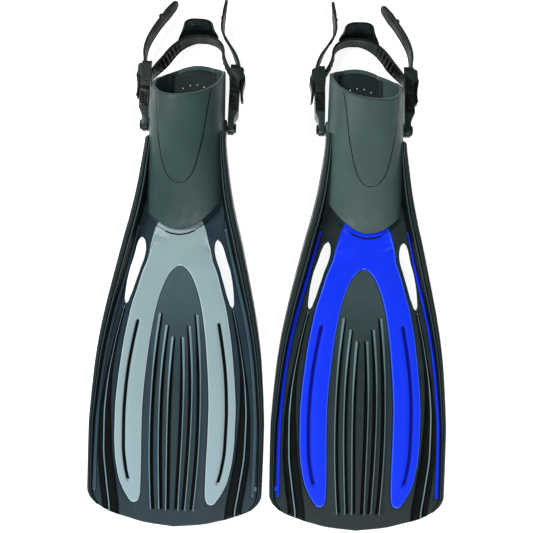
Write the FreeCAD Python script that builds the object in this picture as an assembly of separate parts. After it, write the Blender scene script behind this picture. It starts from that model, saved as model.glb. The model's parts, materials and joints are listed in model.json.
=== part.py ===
import FreeCAD, Part
import os, math, json

# A pair of open-heel swim fins lying on a flat surface, soles down.
# Frame: X across the pair, Y along the fins (blade tips -Y, heels +Y), +Z up.
# Each fin is modelled in a local frame (x across, y from the blade tip to the
# heel, z from the floor), the second fin is the mirror image of the first.
# All lengths are millimetres.

V = FreeCAD.Vector

# ------------------------------------------------------------ driving sizes
BLADE_ANGLE = 5.9          # slope of the blade plate above the floor, degrees
BLADE_LIFT = 2.0           # underside of the blade above the floor at the tip
PLATE_T = 4.6              # blade plate thickness
INLAY_DEPTH = 2.2          # depth of the recess that holds the inlay
INLAY_PROUD = 0.9          # how far the inlay stands above the plate
STRIP_W = 4.2              # width of the two thin edge strips
STRIP_DEPTH = 1.6
STRIP_PROUD = 0.7
CHANNEL_DEPTH = 1.9        # rubber flex channels moulded into the plate
RIB_GROOVE_DEPTH = 1.6
RAIL_SPLIT_Y = 408.0       # plastic rail in front, rubber sleeve behind
WALL = 4.0                 # foot pocket wall
SOLE_T = 5.0               # foot pocket sole
PANEL_T = 1.6              # instep panel thickness
FOOTBED_T = 2.5
DRAIN_R = 2.0

PIVOT_Y = 522.0            # strap pivots on the sides of the foot pocket
PIVOT_Z = 40.0
PIVOT_HALF = 50.0          # inner face of each buckle from the pocket centre
POCKET_SHIFT = -1.0        # foot pocket offset, negative is outward
STRAP_ANGLE = 13.4         # strap loop slopes down to the floor at rest
POST_R = 4.0
POST_CLEAR = 0.06
CAP_R = 6.5
STRAP_W = 22.0
STRAP_T = 3.2
BAR_R = 2.6                # steel bar the strap folds round
BAR_A = 58.0
BAR_C = 6.0
LEVER_A = 72.0             # ratchet lever pin
LEVER_C = 15.6
LEVER_PIN_R = 1.6
LEVER_CLEAR = 0.06
BUTTON_TRAVEL = 2.0

LEFT_TIP = (-122.9, -342.4)
LEFT_YAW = -2.6
RIGHT_TIP = (117.1, -348.0)
RIGHT_YAW = -0.75

TH = math.radians(BLADE_ANGLE)

# half width of the whole fin outline against the distance from the tip
OUTLINE = [(0, 0), (4.5, 39), (9.75, 59), (15, 78), (20, 89), (25, 99), (30.5, 105),
           (36, 110), (41, 112.6), (46, 114.2), (52, 114.4), (104, 114.2), (136, 113.8),
           (165, 112), (196, 109.4), (227, 106.2), (259, 101.4), (290, 95.4),
           (321, 88.4), (352, 81), (383, 73.4), (415, 64.8), (446, 58.2),
           (477, 53.4), (497, 50.8), (508, 50.0), (520, 49.6)]
RAIL_W = [(25, 7.0), (120, 8.0), (200, 9.5), (300, 12.5), (373, 14.0), (430, 13.0), (510, 9.0)]
RAIL_UP = [(25, 1.2), (60, 4.5), (120, 7.5), (200, 10.5), (300, 14.0), (380, 17.0),
           (430, 18.5), (480, 17.0), (510, 12.0)]
RAIL_DOWN = [(25, 4.57), (60, 8.17), (120, 9.5), (200, 11.0), (300, 13.0), (380, 16.0),
             (430, 17.0), (480, 15.0), (510, 10.0)]
# edge strip centre line
STRIP = [(45, 104), (92, 104), (139, 103.2), (186, 99.6), (233, 93.8), (279, 84.9),
         (303, 78.8), (326, 72.6), (373, 60.8), (396, 55.2)]
# inlay outlines: distance from the tip, half width
INLAY_OUT = [(38.5, 58.5), (46, 63.7), (54, 67), (62, 70.7), (77, 74.1), (93, 76.7),
             (124, 78.5), (155, 78.5), (187, 76.6), (218, 73.3), (249, 69.3),
             (280, 63.6), (296, 60.2), (311, 55.6), (327, 51), (335, 48.8),
             (350, 43), (374, 34.5), (382, 31.6), (391, 26.5)]
INLAY_IN = [(38.5, 43.6), (46, 41.6), (62, 42.2), (93, 42.2), (124, 42.9), (155, 42.9),
            (187, 41.6), (218, 39), (249, 35.8), (280, 31.2), (296, 28), (311, 24),
            (327, 18.9), (335, 14.3), (343, 9)]
INLAY_ARCH = 346.0
INLAY_TIP = (31.5, 50.5)
CHANNEL = [(4, 80.6), (16, 80.3), (58, 85), (104, 90), (149, 90.7), (188, 88.4), (244, 80), (292, 69.5)]
CHANNEL_W = [(4, 21), (40, 21), (104, 19), (149, 16), (188, 11), (244, 6), (292, 3.5)]
VENT = [(379, 48.4, 1.0), (374, 49.4, 9.1), (363, 50.7, 13), (353, 53.3, 13.6), (343, 56.8, 13),
        (332, 59.8, 12.3), (322, 62.4, 11), (311, 64.7, 9.1), (301, 67, 5.8), (296, 67.8, 1.0)]
RIBS = [[(24, 25.5), (60, 27), (130, 30), (180, 29.5), (240, 25), (287, 21.5)],
        [(23, 14.5), (60, 15.5), (130, 18.5), (180, 18.2), (240, 14.6), (272, 12.2)],
        [(22, 5.4), (60, 5.6), (130, 7.4), (180, 7.2), (230, 5.2), (257, 4.2)]]
# foot pocket: y, top z, underside z, half width
POCKET = [(379.0, 46.0, 30.0, 43.5), (389.0, 50.6, 28.0, 45.5), (402.0, 58.5, 25.6, 47.6),
          (426.0, 69.5, 21.0, 48.5), (460.0, 82.0, 14.5, 48.5), (500.0, 92.5, 7.5, 47.5),
          (540.0, 98.5, 1.6, 46.3), (574.0, 101.0, -0.6, 45.2), (616.0, 103.0, -0.6, 44.0)]
TOE_Y = 389.5
TONGUE_Y = 607.0
LEAN = 2.5                 # the instep leans outward, the sole inward
REAR_SKEW = 6.84           # the heel opening is turned a little, degrees


# ---------------------------------------------------------------- helpers
def lerp_table(table, t):
    """Smooth (monotone cubic) interpolation in a list of (t, value)."""
    n = len(table)
    if t <= table[0][0]:
        return table[0][1]
    if t >= table[-1][0]:
        return table[-1][1]
    i = 0
    while table[i + 1][0] < t:
        i += 1
    def slope(k):
        if k <= 0 or k >= n - 1:
            k = max(0, min(n - 2, k if k <= 0 else n - 2))
            return (table[k + 1][1] - table[k][1]) / float(table[k + 1][0] - table[k][0])
        d0 = (table[k][1] - table[k - 1][1]) / float(table[k][0] - table[k - 1][0])
        d1 = (table[k + 1][1] - table[k][1]) / float(table[k + 1][0] - table[k][0])
        if d0 * d1 <= 0:
            return 0.0
        return 2 * d0 * d1 / (d0 + d1)
    x0, y0 = table[i]
    x1, y1 = table[i + 1]
    h = float(x1 - x0)
    u = (t - x0) / h
    m0, m1 = slope(i) * h, slope(i + 1) * h
    return ((2 * u**3 - 3 * u**2 + 1) * y0 + (u**3 - 2 * u**2 + u) * m0
            + (-2 * u**3 + 3 * u**2) * y1 + (u**3 - u**2) * m1)


def smooth(t):
    t = max(0.0, min(1.0, t))
    return t * t * (3 - 2 * t)


def shift(y):
    """Sideways offset of the foot pocket and the rear of the rails."""
    return POCKET_SHIFT * smooth((y - 325.0) / 195.0)


def detail_shift(y):
    """Sideways offset of the inlay, ribs, vents and flex channels."""
    return -2.5 - 2.0 * smooth((y - 340.0) / 56.0)


def strip_shift(y):
    """Sideways offset of the two edge strips."""
    return -1.2 - 1.0 * smooth((y - 340.0) / 56.0)


def spline(points):
    c = Part.BSplineCurve()
    c.interpolate([V(*p) for p in points])
    return c.toShape()


def line(a, b):
    return Part.makeLine(V(*a), V(*b))


def prism_edges(edges, vec):
    wire = Part.Wire(Part.__sortEdges__(edges))
    return Part.Face(wire).extrude(V(*vec))


def blade_place(shape):
    """Blade frame (x, distance from tip, height above the plate underside)
    to the fin frame."""
    s = shape.copy()
    s.Placement = FreeCAD.Placement(V(0, 0, BLADE_LIFT),
                                    FreeCAD.Rotation(V(1, 0, 0), BLADE_ANGLE))
    return s.copy()


def clean(shape):
    s = shape.removeSplitter()
    return s if s.isValid() and len(s.Solids) else shape


def largest(shape):
    return max(shape.Solids, key=lambda s: s.Volume)


def ruled(rings, closed_rings=True):
    """Ruled solid through rings of points with equal counts."""
    wires = [Part.makePolygon([V(*p) for p in r] + [V(*r[0])]) for r in rings]
    return Part.makeLoft(wires, True, True)


def facet_solid(rings):
    """Closed solid of flat triangles through rings of points."""
    faces = []
    def tri(a, b, c):
        if (V(*b) - V(*a)).cross(V(*c) - V(*a)).Length < 1e-7:
            return
        faces.append(Part.Face(Part.makePolygon([V(*a), V(*b), V(*c), V(*a)])))
    n = len(rings[0])
    for r0, r1 in zip(rings, rings[1:]):
        for i in range(n):
            j = (i + 1) % n
            tri(r0[i], r0[j], r1[j])
            tri(r0[i], r1[j], r1[i])
    for r in (rings[0], rings[-1]):
        for i in range(1, n - 1):
            tri(r[0], r[i], r[i + 1])
    shell = Part.makeShell(faces)
    shell.sewShape()
    shell.fix(1e-4, 1e-4, 1e-4)
    solid = Part.makeSolid(shell)
    if solid.Volume < 0:
        solid.reverse()
    return solid


def box(x0, x1, y0, y1, z0, z1):
    return Part.makeBox(x1 - x0, y1 - y0, z1 - z0, V(x0, y0, z0))


def outline_edges(table, side, offset=0.0, with_shift=True, ys=None):
    pts = []
    for y in ys:
        w = lerp_table(table, y) - offset
        pts.append((side * w + (shift(y) if with_shift else 0.0), y, 0))
    return pts


# ------------------------------------------------------------------ blade
def toe_arc(x, extra=0.0):
    return TOE_Y - extra + 35.0 * ((x + 7.0) / 50.0) ** 2


def toe_cutter(extra=0.0, z0=-40.0, z1=160.0):
    """Prism behind the toe arc, in the fin frame."""
    xs = [-90 + 10 * i for i in range(19)]
    edges = [spline([(x, toe_arc(x, extra), z0) for x in xs]),
             line((90, toe_arc(90, extra), z0), (90, 700, z0)),
             line((90, 700, z0), (-90, 700, z0)),
             line((-90, 700, z0), (-90, toe_arc(-90, extra), z0))]
    return prism_edges(edges, (0, 0, z1 - z0))


def band_prism(centre, width, y0, y1, w0, w1, side, n=14, offset=detail_shift):
    """Strip of varying width along a centre line, in the blade frame."""
    ys = [y0 + (y1 - y0) * i / float(n) for i in range(n + 1)]
    left, right = [], []
    for y in ys:
        c = lerp_table(centre, y)
        w = width(y) if callable(width) else width
        sx = offset(y)
        left.append((side * (c - w / 2.0) + sx, y, w0))
        right.append((side * (c + w / 2.0) + sx, y, w0))
    edges = [spline(left), line(left[-1], right[-1]), spline(right), line(right[0], left[0])]
    return prism_edges(edges, (0, 0, w1 - w0))


def rail_ring(y, side):
    """Cross-section of a side rail in the blade frame."""
    sx = shift(y)
    xo = lerp_table(OUTLINE, y)
    rw = lerp_table(RAIL_W, y)
    up = PLATE_T + lerp_table(RAIL_UP, y)
    dn = -lerp_table(RAIL_DOWN, y)
    if y <= 60:
        dn = -(BLADE_LIFT + y * math.sin(TH)) / math.cos(TH) + 0.02
    pts = [(xo - 0.8, dn), (xo, dn + 2.5), (xo, up - 3.0), (xo - rw * 0.35, up),
           (xo - rw * 0.75, up - 0.8), (xo - rw, PLATE_T * 0.5), (xo - rw * 0.85, dn)]
    return [(side * x + sx, y, w) for x, w in pts]


def make_rail(side):
    ys = [27, 36, 48, 70, 105, 150, 200, 250, 300, 345, 385, 420, 450, 480, 500, 510]
    rings = [rail_ring(y, side) for y in ys]
    end = 519.0 if side > 0 else 509.5
    rings = [r for r in rings if r[0][1] < end - 3.0]
    if side > 0:
        rings.append(rail_ring(515.0, side))
    # rounded rear end
    last = rings[-1]
    cx = sum(p[0] for p in last) / len(last)
    cw = sum(p[2] for p in last) / len(last)
    rings.append([(cx + (p[0] - cx) * 0.55, end, cw + (p[2] - cw) * 0.6) for p in last])
    rail = blade_place(ruled(rings))
    return rail


def make_blade_parts():
    # plate between the rails
    ys = [46, 52, 80, 104, 136, 165, 196, 227, 259, 290, 321, 352, 383, 415, 446]
    def inner_edge(y, side):
        return (side * (lerp_table(OUTLINE, y) - lerp_table(RAIL_W, y)) + shift(y), y, 0)
    # the plate edge runs just inside the outer face of the rails
    inset = [(15, 0.0), (25, 0.6), (36, 1.3), (46, 1.4)]
    tip = [(lerp_table(inset, y) - lerp_table(OUTLINE, y), y, 0) for y in (46, 36, 25, 15, 9.75, 4.5, 1.2)]
    tip = tip + [(0, 0, 0)]
    tip += [(-p[0], p[1], 0) for p in reversed(tip[:-1])]
    left = [inner_edge(y, -1) for y in ys]
    right = [inner_edge(y, 1) for y in ys]
    edges = [spline(tip), line(tip[-1], right[0]), spline(right),
             line(right[-1], left[-1]), spline(left), line(left[0], tip[0])]
    plate = prism_edges(edges, (0, 0, PLATE_T))
    # raised rim that follows the toe of the foot pocket
    inlays, strips, channels = [], [], []
    top = PLATE_T
    for side in (-1, 1):
        strips.append(band_prism(STRIP, lambda y: STRIP_W if y < 330 else STRIP_W - (y - 330) * 0.02,
                                 45, 392, top - STRIP_DEPTH, top + STRIP_PROUD, side, n=20, offset=strip_shift))
        channels.append(band_prism(CHANNEL, lambda y: lerp_table(CHANNEL_W, y), 14, 290,
                                   top - CHANNEL_DEPTH, top - 0.5, side))
    # wishbone inlay: one piece joined over the arch
    wi0 = top - INLAY_DEPTH
    outer_r = [(x + detail_shift(y), y, wi0) for y, x in INLAY_OUT]
    outer_l = [(-x + detail_shift(y), y, wi0) for y, x in INLAY_OUT]
    arch_r = [(x + detail_shift(y), y, wi0) for y, x in INLAY_IN]
    arch_l = [(-x + detail_shift(y), y, wi0) for y, x in INLAY_IN]
    arch = arch_l + [(detail_shift(INLAY_ARCH), INLAY_ARCH, wi0)] + list(reversed(arch_r))
    def foot(side):
        y, x = INLAY_TIP
        a = (side * INLAY_IN[0][1] + detail_shift(40), INLAY_IN[0][0], wi0)
        m = (side * x + detail_shift(y), y, wi0)
        b = (side * INLAY_OUT[0][1] + detail_shift(40), INLAY_OUT[0][0], wi0)
        return spline([a, (side * 46.2 + detail_shift(34), 33.4, wi0), m, (side * 55.0 + detail_shift(34), 34.0, wi0), b])
    xs = [26.5, 18, 9, 0, -9, -18, -26.5]
    crown = [(x + detail_shift(391), toe_arc(x + detail_shift(391)) + 3.0, wi0) for x in xs]
    edges = [spline(outer_r), foot(1), spline(arch), foot(-1), spline(outer_l),
             line(outer_l[-1], crown[-1]), spline(crown), line(crown[0], outer_r[-1])]
    inlay = prism_edges(edges, (0, 0, INLAY_DEPTH + INLAY_PROUD))
    # centre line of each inlay leg carries a shallow groove
    for side in (-1, 1):
        g = band_prism([(62, 58.5), (78, 62.4), (108, 66), (148, 66.6), (179, 65.4), (210, 62.7),
                        (241, 58.1), (272, 52.4)], 4.0, 62, 272, top - 0.6, top + 3, side)
        inlay = inlay.cut(g)
    vents = []
    for side in (-1, 1):
        a = [(side * (c - w / 2.0) + detail_shift(y), y, -5) for y, c, w in VENT]
        b = [(side * (c + w / 2.0) + detail_shift(y), y, -5) for y, c, w in VENT]
        edges = [spline(a), line(a[-1], b[-1]), spline(b), line(b[0], a[0])]
        vents.append(prism_edges(edges, (0, 0, 30)))
    channels = [largest(c.common(plate)) for c in channels]
    for v in vents:
        plate = plate.cut(v)
    for s in inlays + strips + channels + [inlay]:
        plate = plate.cut(s)
    for table in RIBS:
        for side in (-1, 1):
            plate = plate.cut(band_prism(table, 4.2, table[0][0], table[-1][0],
                                         top - RIB_GROOVE_DEPTH, top + 3, side, n=8))
    toe = toe_cutter()
    blade = largest(blade_place(plate).cut(toe))
    inlay = largest(blade_place(inlay).cut(toe))
    strips = [largest(blade_place(s).cut(toe)) for s in strips]
    channels = [largest(blade_place(s)) for s in channels]
    return blade, inlay, strips, channels


# ------------------------------------------------------------- foot pocket
def pocket_wire(y, zt, zb, a, inset_top=0.0, inset_bottom=0.0, inset_side=0.0):
    zt -= inset_top
    zb += inset_bottom
    a -= inset_side
    k = math.sin(math.radians(60)) ** (2 / 2.4)
    h = (zt - zb) / (1 + k)
    zc = zt - h
    f = smooth((y - 420.0) / 130.0)
    pts = []
    for i in range(17):
        ph = math.radians(-60 + 300 * i / 16.0)
        c, s = math.cos(ph), math.sin(ph)
        x = a * math.copysign(abs(c) ** (2 / 2.4), c)
        z = zc + h * math.copysign(abs(s) ** (2 / 2.4), s)
        lean = LEAN * f * (1 - 2 * (z - zb) / (zt - zb))
        pts.append((x + shift(y) + lean, y, z))
    pts[0] = (pts[0][0], y, zb)
    pts[-1] = (pts[-1][0], y, zb)
    return Part.Wire([line(pts[-1], pts[0]), spline(pts)])


def pocket_loft(stations, **kw):
    return Part.makeLoft([pocket_wire(*s, **kw) for s in stations], True, True)


def plan_outline(z0, z1):
    """Plan of the pocket: toe arc in front, rounded heel tongue behind."""
    xs = [-90 + 10 * i for i in range(19)]
    rear = []
    for i in range(13):
        x = -60 + 10.0 * i
        rear.append((x + 1.2, TONGUE_Y - 14.0 * (x / 40.0) ** 2 + 0.12 * (x + 2.2), z0))
    edges = [spline([(x, toe_arc(x), z0) for x in xs]),
             line((90, toe_arc(90), z0), rear[-1]), spline(rear),
             line(rear[0], (-90, toe_arc(-90), z0))]
    return prism_edges(edges, (0, 0, z1 - z0))


def rear_cut():
    """Everything above the rear opening edge (profile in the YZ plane)."""
    pts = [(-120, 545.0, 108.0), (-120, 552.5, 97.5), (-120, 565, 80), (-120, 577, 61), (-120, 586, 41),
           (-120, 593, 24), (-120, 600, 12.5), (-120, 612, 7.5)]
    edges = [spline(pts), line(pts[-1], (-120, 700, 7.5)), line((-120, 700, 7.5), (-120, 700, 160)),
             line((-120, 700, 160), (-120, 545, 160)), line((-120, 545, 160), pts[0])]
    cut = prism_edges(edges, (240, 0, 0))
    cut.rotate(V(-1, 580, 0), V(0, 0, 1), REAR_SKEW)
    return cut


def make_pocket():
    outer = pocket_loft(POCKET)
    cav = [s for s in POCKET if s[0] > 400]
    cav = [(408.0, 61.0, 24.4, 47.0)] + cav[1:] + [(660.0, 104.0, -0.6, 43.0)]
    inner = pocket_loft(cav, inset_top=WALL, inset_bottom=SOLE_T, inset_side=WALL)
    cutter = rear_cut()
    body = outer.cut(inner).cut(cutter).common(plan_outline(-20, 160))
    # instep panel inside a U-shaped seam
    skin = outer.cut(pocket_loft(POCKET, inset_top=PANEL_T, inset_bottom=PANEL_T, inset_side=PANEL_T))
    u = [(-33, 548, 55), (-31.5, 527, 55), (-28, 500, 55), (-22, 468, 55), (-14, 451, 55), (2, 444.5, 55),
         (17, 450, 55), (26, 466, 55), (33, 500, 55), (38, 527, 55), (40.5, 545, 55)]
    u = [(x - 7.9, y + 1.6, z) for x, y, z in u]
    edges = [spline(u), line(u[-1], (33, 620, 55)), line((33, 620, 55), (-41, 620, 55)), line((-41, 620, 55), u[0])]
    panel = largest(skin.common(prism_edges(edges, (0, 0, 90))).cut(cutter))
    body = body.cut(panel)
    # rubber sleeves over the rear of the rails
    sleeves = []
    for side in (-1, 1):
        rail = make_rail(side)
        rear = rail.common(box(-150, 150, RAIL_SPLIT_Y, 560, -10, 120))
        sleeves.append(largest(rear))
    # bosses round the strap posts
    cx = shift(PIVOT_Y)
    bosses = []
    for side in (-1, 1):
        x0 = cx + side * (PIVOT_HALF - 9.0)
        b = Part.makeCylinder(10.0, 8.7, V(x0, PIVOT_Y, PIVOT_Z), V(side, 0, 0))
        bosses.append(b)
    for s in sleeves + bosses:
        body = body.fuse(s)
    body = body.cut(pocket_loft(cav, inset_top=WALL, inset_bottom=SOLE_T, inset_side=WALL))
    for side in (-1, 1):
        x0 = cx + side * (PIVOT_HALF - 12.0)
        body = body.cut(Part.makeCylinder(POST_R, 12.0, V(x0, PIVOT_Y, PIVOT_Z), V(side, 0, 0)))
    # flat heel patch
    body = body.cut(box(-100, 100, 480, 700, -20, 0))
    # footbed lies on the sole
    rings = []
    for y, zt, zb, a in [(418.0, 66.0, None, 49.5)] + [s for s in POCKET if 420 < s[0] < 600] + [(601.0, 0, -0.6, 0)]:
        if zb is None:
            # on the sole line between its two neighbours
            s0, s1 = (408.0, 24.4), (426.0, 21.0)
            zb = s0[1] + (s1[1] - s0[1]) * (y - s0[0]) / (s1[0] - s0[0])
        lean = LEAN * smooth((y - 420.0) / 130.0)
        c = shift(y) + lean
        hw = 24.0
        if y > 600:
            hw = 10.0
        z0 = zb + SOLE_T
        rings.append([(c - hw, y, z0), (c + hw, y, z0), (c + hw, y, z0 + FOOTBED_T), (c - hw, y, z0 + FOOTBED_T)])
    bed = ruled(rings)
    holes = [(-13.35, 577.5), (-4.1, 581.7), (5.3, 582.7), (14.3, 580.3)]
    for hx, hy in holes:
        h = Part.makeCylinder(DRAIN_R, 30, V(hx, hy, -5), V(0, 0, 1))
        body = body.cut(h)
        bed = bed.cut(h)
    return body, panel, bed


# ---------------------------------------------------------------- buckles
def strap_place(shape):
    """Strap frame (x, a along the loop from the pivot, b up) to the fin frame."""
    s = shape.copy()
    s.Placement = FreeCAD.Placement(V(0, PIVOT_Y, PIVOT_Z), FreeCAD.Rotation(V(1, 0, 0), -STRAP_ANGLE))
    return s.copy()


def strap_point(p):
    ca, sa = math.cos(math.radians(STRAP_ANGLE)), math.sin(math.radians(STRAP_ANGLE))
    x, a, b = p
    return (x, PIVOT_Y + a * ca + b * sa, PIVOT_Z - a * sa + b * ca)


def strap_vec(p):
    ca, sa = math.cos(math.radians(STRAP_ANGLE)), math.sin(math.radians(STRAP_ANGLE))
    return (p[0], p[1] * ca + p[2] * sa, -p[1] * sa + p[2] * ca)


def poly_c(points, c0, c1):
    """Prism from an (a, b) polygon between two c values, in (c, a, b)."""
    ring = [V(c0, a, b) for a, b in points]
    face = Part.Face(Part.makePolygon(ring + [ring[0]]))
    return face.extrude(V(c1 - c0, 0, 0))


def cbox(c0, c1, a0, a1, b0, b1):
    return box(c0, c1, a0, a1, b0, b1)


def make_buckle():
    """One buckle in the frame (c outward, a along, b up); the pivot is the origin."""
    # receiver: eye at the pivot, tapered neck, open mouth for the clip
    prof = [(-8.0, -4.0), (-8.0, 4.0), (-4.0, 8.5), (6.0, 9.5), (16.0, 12.4), (22.0, 14.0),
            (44.0, 14.6), (47.0, 13.8), (47.0, -13.8), (44.0, -14.6), (22.0, -14.0),
            (16.0, -12.4), (6.0, -9.5), (-4.0, -8.5)]
    body = poly_c(prof, 0.5, 13.4)
    # neck is thinner than the mouth
    body = body.cut(cbox(8.8, 20, -20, 10.0, -20, 20))
    ramp = Part.Face(Part.makePolygon([V(8.8, 9.9, -20), V(13.4, 18.0, -20), V(20, 18.0, -20), V(20, 9.9, -20),
                                       V(8.8, 9.9, -20)])).extrude(V(0, 0, 40))
    body = body.cut(ramp)
    cavity = cbox(2.6, 11.4, 19.0, 60.0, -11.4, 11.4)
    body = body.cut(cavity)
    windows = cbox(3.3, 10.7, 23.7, 38.3, -30, 30)
    body = body.cut(windows)
    body = body.cut(Part.makeCylinder(POST_R + POST_CLEAR, 40, V(-5, 0, 0), V(1, 0, 0)))
    receiver = clean(body)
    # clip: frame round the strap, with a tongue that enters the receiver
    frame = poly_c([(47.0, -14.0), (47.0, 14.0), (80.0, 14.0), (84.0, 11.5), (84.0, -11.5), (80.0, -14.0)], 0.5, 13.4)
    ears = poly_c([(62.0, -14.0), (62.0, 14.0), (78.0, 14.0), (78.0, -14.0)], 13.3, 18.2)
    ears = ears.cut(cbox(10, 25, 50, 90, -11.4, 11.4))
    frame = frame.fuse(ears)
    frame = frame.cut(cbox(-5, 13.2, 51.0, 100, -11.4, 11.4))
    frame = frame.cut(cbox(13.1, 30, 50.9, 100, -11.4, 11.4))
    tongue = cbox(3.4, 10.6, 21.0, 47.6, -4.6, 4.6)
    shoulders = cbox(3.0, 11.0, 41.0, 47.6, -11.0, 11.0)
    clip = clean(frame.fuse(shoulders).fuse(tongue))
    pin_len = 27.2
    bar = Part.makeCylinder(BAR_R, pin_len, V(BAR_C, BAR_A, -pin_len / 2), V(0, 0, 1))
    pin = Part.makeCylinder(LEVER_PIN_R, pin_len, V(LEVER_C, LEVER_A, -pin_len / 2), V(0, 0, 1))
    clip = clip.cut(bar).cut(pin)
    # ratchet lever: eye on its pin, tooth on the strap, finger end towards the pivot
    eye = Part.makeCylinder(3.0, 18.4, V(LEVER_C, LEVER_A, -9.2), V(0, 0, 1))
    arm = Part.Face(Part.makePolygon([V(13.9, 70.5, -9.2), V(18.6, 72.0, -9.2), V(20.2, 66.0, -9.2), V(18.6, 54.0, -9.2),
                                      V(17.6, 44.0, -9.2), V(18.8, 38.0, -9.2), V(16.4, 37.0, -9.2), V(14.2, 44.0, -9.2),
                                      V(13.9, 58.0, -9.2), V(13.9, 70.5, -9.2)])).extrude(V(0, 0, 18.4))
    tooth = Part.Face(Part.makePolygon([V(14.0, 66.0, -7.0), V(12.6, 64.5, -7.0), V(14.0, 61.0, -7.0),
                                        V(14.0, 66.0, -7.0)])).extrude(V(0, 0, 14.0))
    lever = arm.fuse(eye).fuse(tooth)
    lever = lever.cut(Part.makeCylinder(LEVER_PIN_R + LEVER_CLEAR, 40, V(LEVER_C, LEVER_A, -20), V(0, 0, 1)))
    # slots at both ends of the eye leave room for the spring coils
    lever = lever.cut(cbox(8, 25, 66.0, 80, 7.0, 12))
    lever = clean(lever)
    # return spring: one coil body round the pin beside the eye
    spring = Part.makeCylinder(2.6, 3.2, V(LEVER_C, LEVER_A, 7.6), V(0, 0, 1))
    spring = spring.cut(Part.makeCylinder(LEVER_PIN_R, 10, V(LEVER_C, LEVER_A, 5), V(0, 0, 1)))
    leg = cbox(LEVER_C - 2.6, LEVER_C - 1.7, 72.0, 77.0, 8.4, 9.4)
    spring = spring.fuse(leg)
    buttons = []
    for s in (1, -1):
        pad = cbox(3.6, 10.4, 24.0, 38.0, min(s * 9.4, s * 15.4), max(s * 9.4, s * 15.4))
        flange = cbox(2.9, 11.1, 21.8, 40.2, min(s * 9.4, s * 11.1), max(s * 9.4, s * 11.1))
        b = pad.fuse(flange)
        try:
            es = [e for e in b.Edges if abs(abs(e.CenterOfMass.z) - 15.4) < 0.01]
            b = b.makeFillet(0.9, es)
        except Exception:
            pass
        buttons.append(b)
    post = Part.makeCylinder(POST_R, PIVOT_HALF - 43.2 + 9.2, V(-(PIVOT_HALF - 43.2), 0, 0), V(1, 0, 0))
    cap = Part.makeCylinder(CAP_R, 2.4, V(9.2, 0, 0), V(1, 0, 0))
    try:
        cap = cap.makeFillet(0.9, [e for e in cap.Edges if abs(e.CenterOfMass.x - 11.6) < 0.01])
    except Exception:
        pass
    return dict(receiver=receiver, clip=clip, bar=bar, pin=pin, lever=lever, spring=spring,
                buttons=buttons, post=post, cap=cap)


def place_buckle(shape, side):
    """(c, a, b) frame to the fin frame on one side of the foot pocket."""
    s = shape.copy()
    if side < 0:
        s = s.mirror(V(0, 0, 0), V(1, 0, 0))
    s = s.copy()
    s.Placement = FreeCAD.Placement(V(shift(PIVOT_Y) + side * PIVOT_HALF, PIVOT_Y, PIVOT_Z),
                                    FreeCAD.Rotation(V(1, 0, 0), -STRAP_ANGLE))
    return s.copy()


# ------------------------------------------------------------------ strap
def catmull(pts, n):
    out = []
    m = len(pts)
    for i in range(m - 1):
        p0 = pts[max(i - 1, 0)]
        p1, p2 = pts[i], pts[i + 1]
        p3 = pts[min(i + 2, m - 1)]
        for k in range(n):
            t = k / float(n)
            out.append(tuple(0.5 * ((2 * b) + (-a + c) * t + (2 * a - 5 * b + 4 * c - d) * t * t
                                    + (-a + 3 * b - 3 * c + d) * t**3)
                             for a, b, c, d in zip(p0, p1, p2, p3)))
    out.append(tuple(float(v) for v in pts[-1]))
    return out


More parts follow.
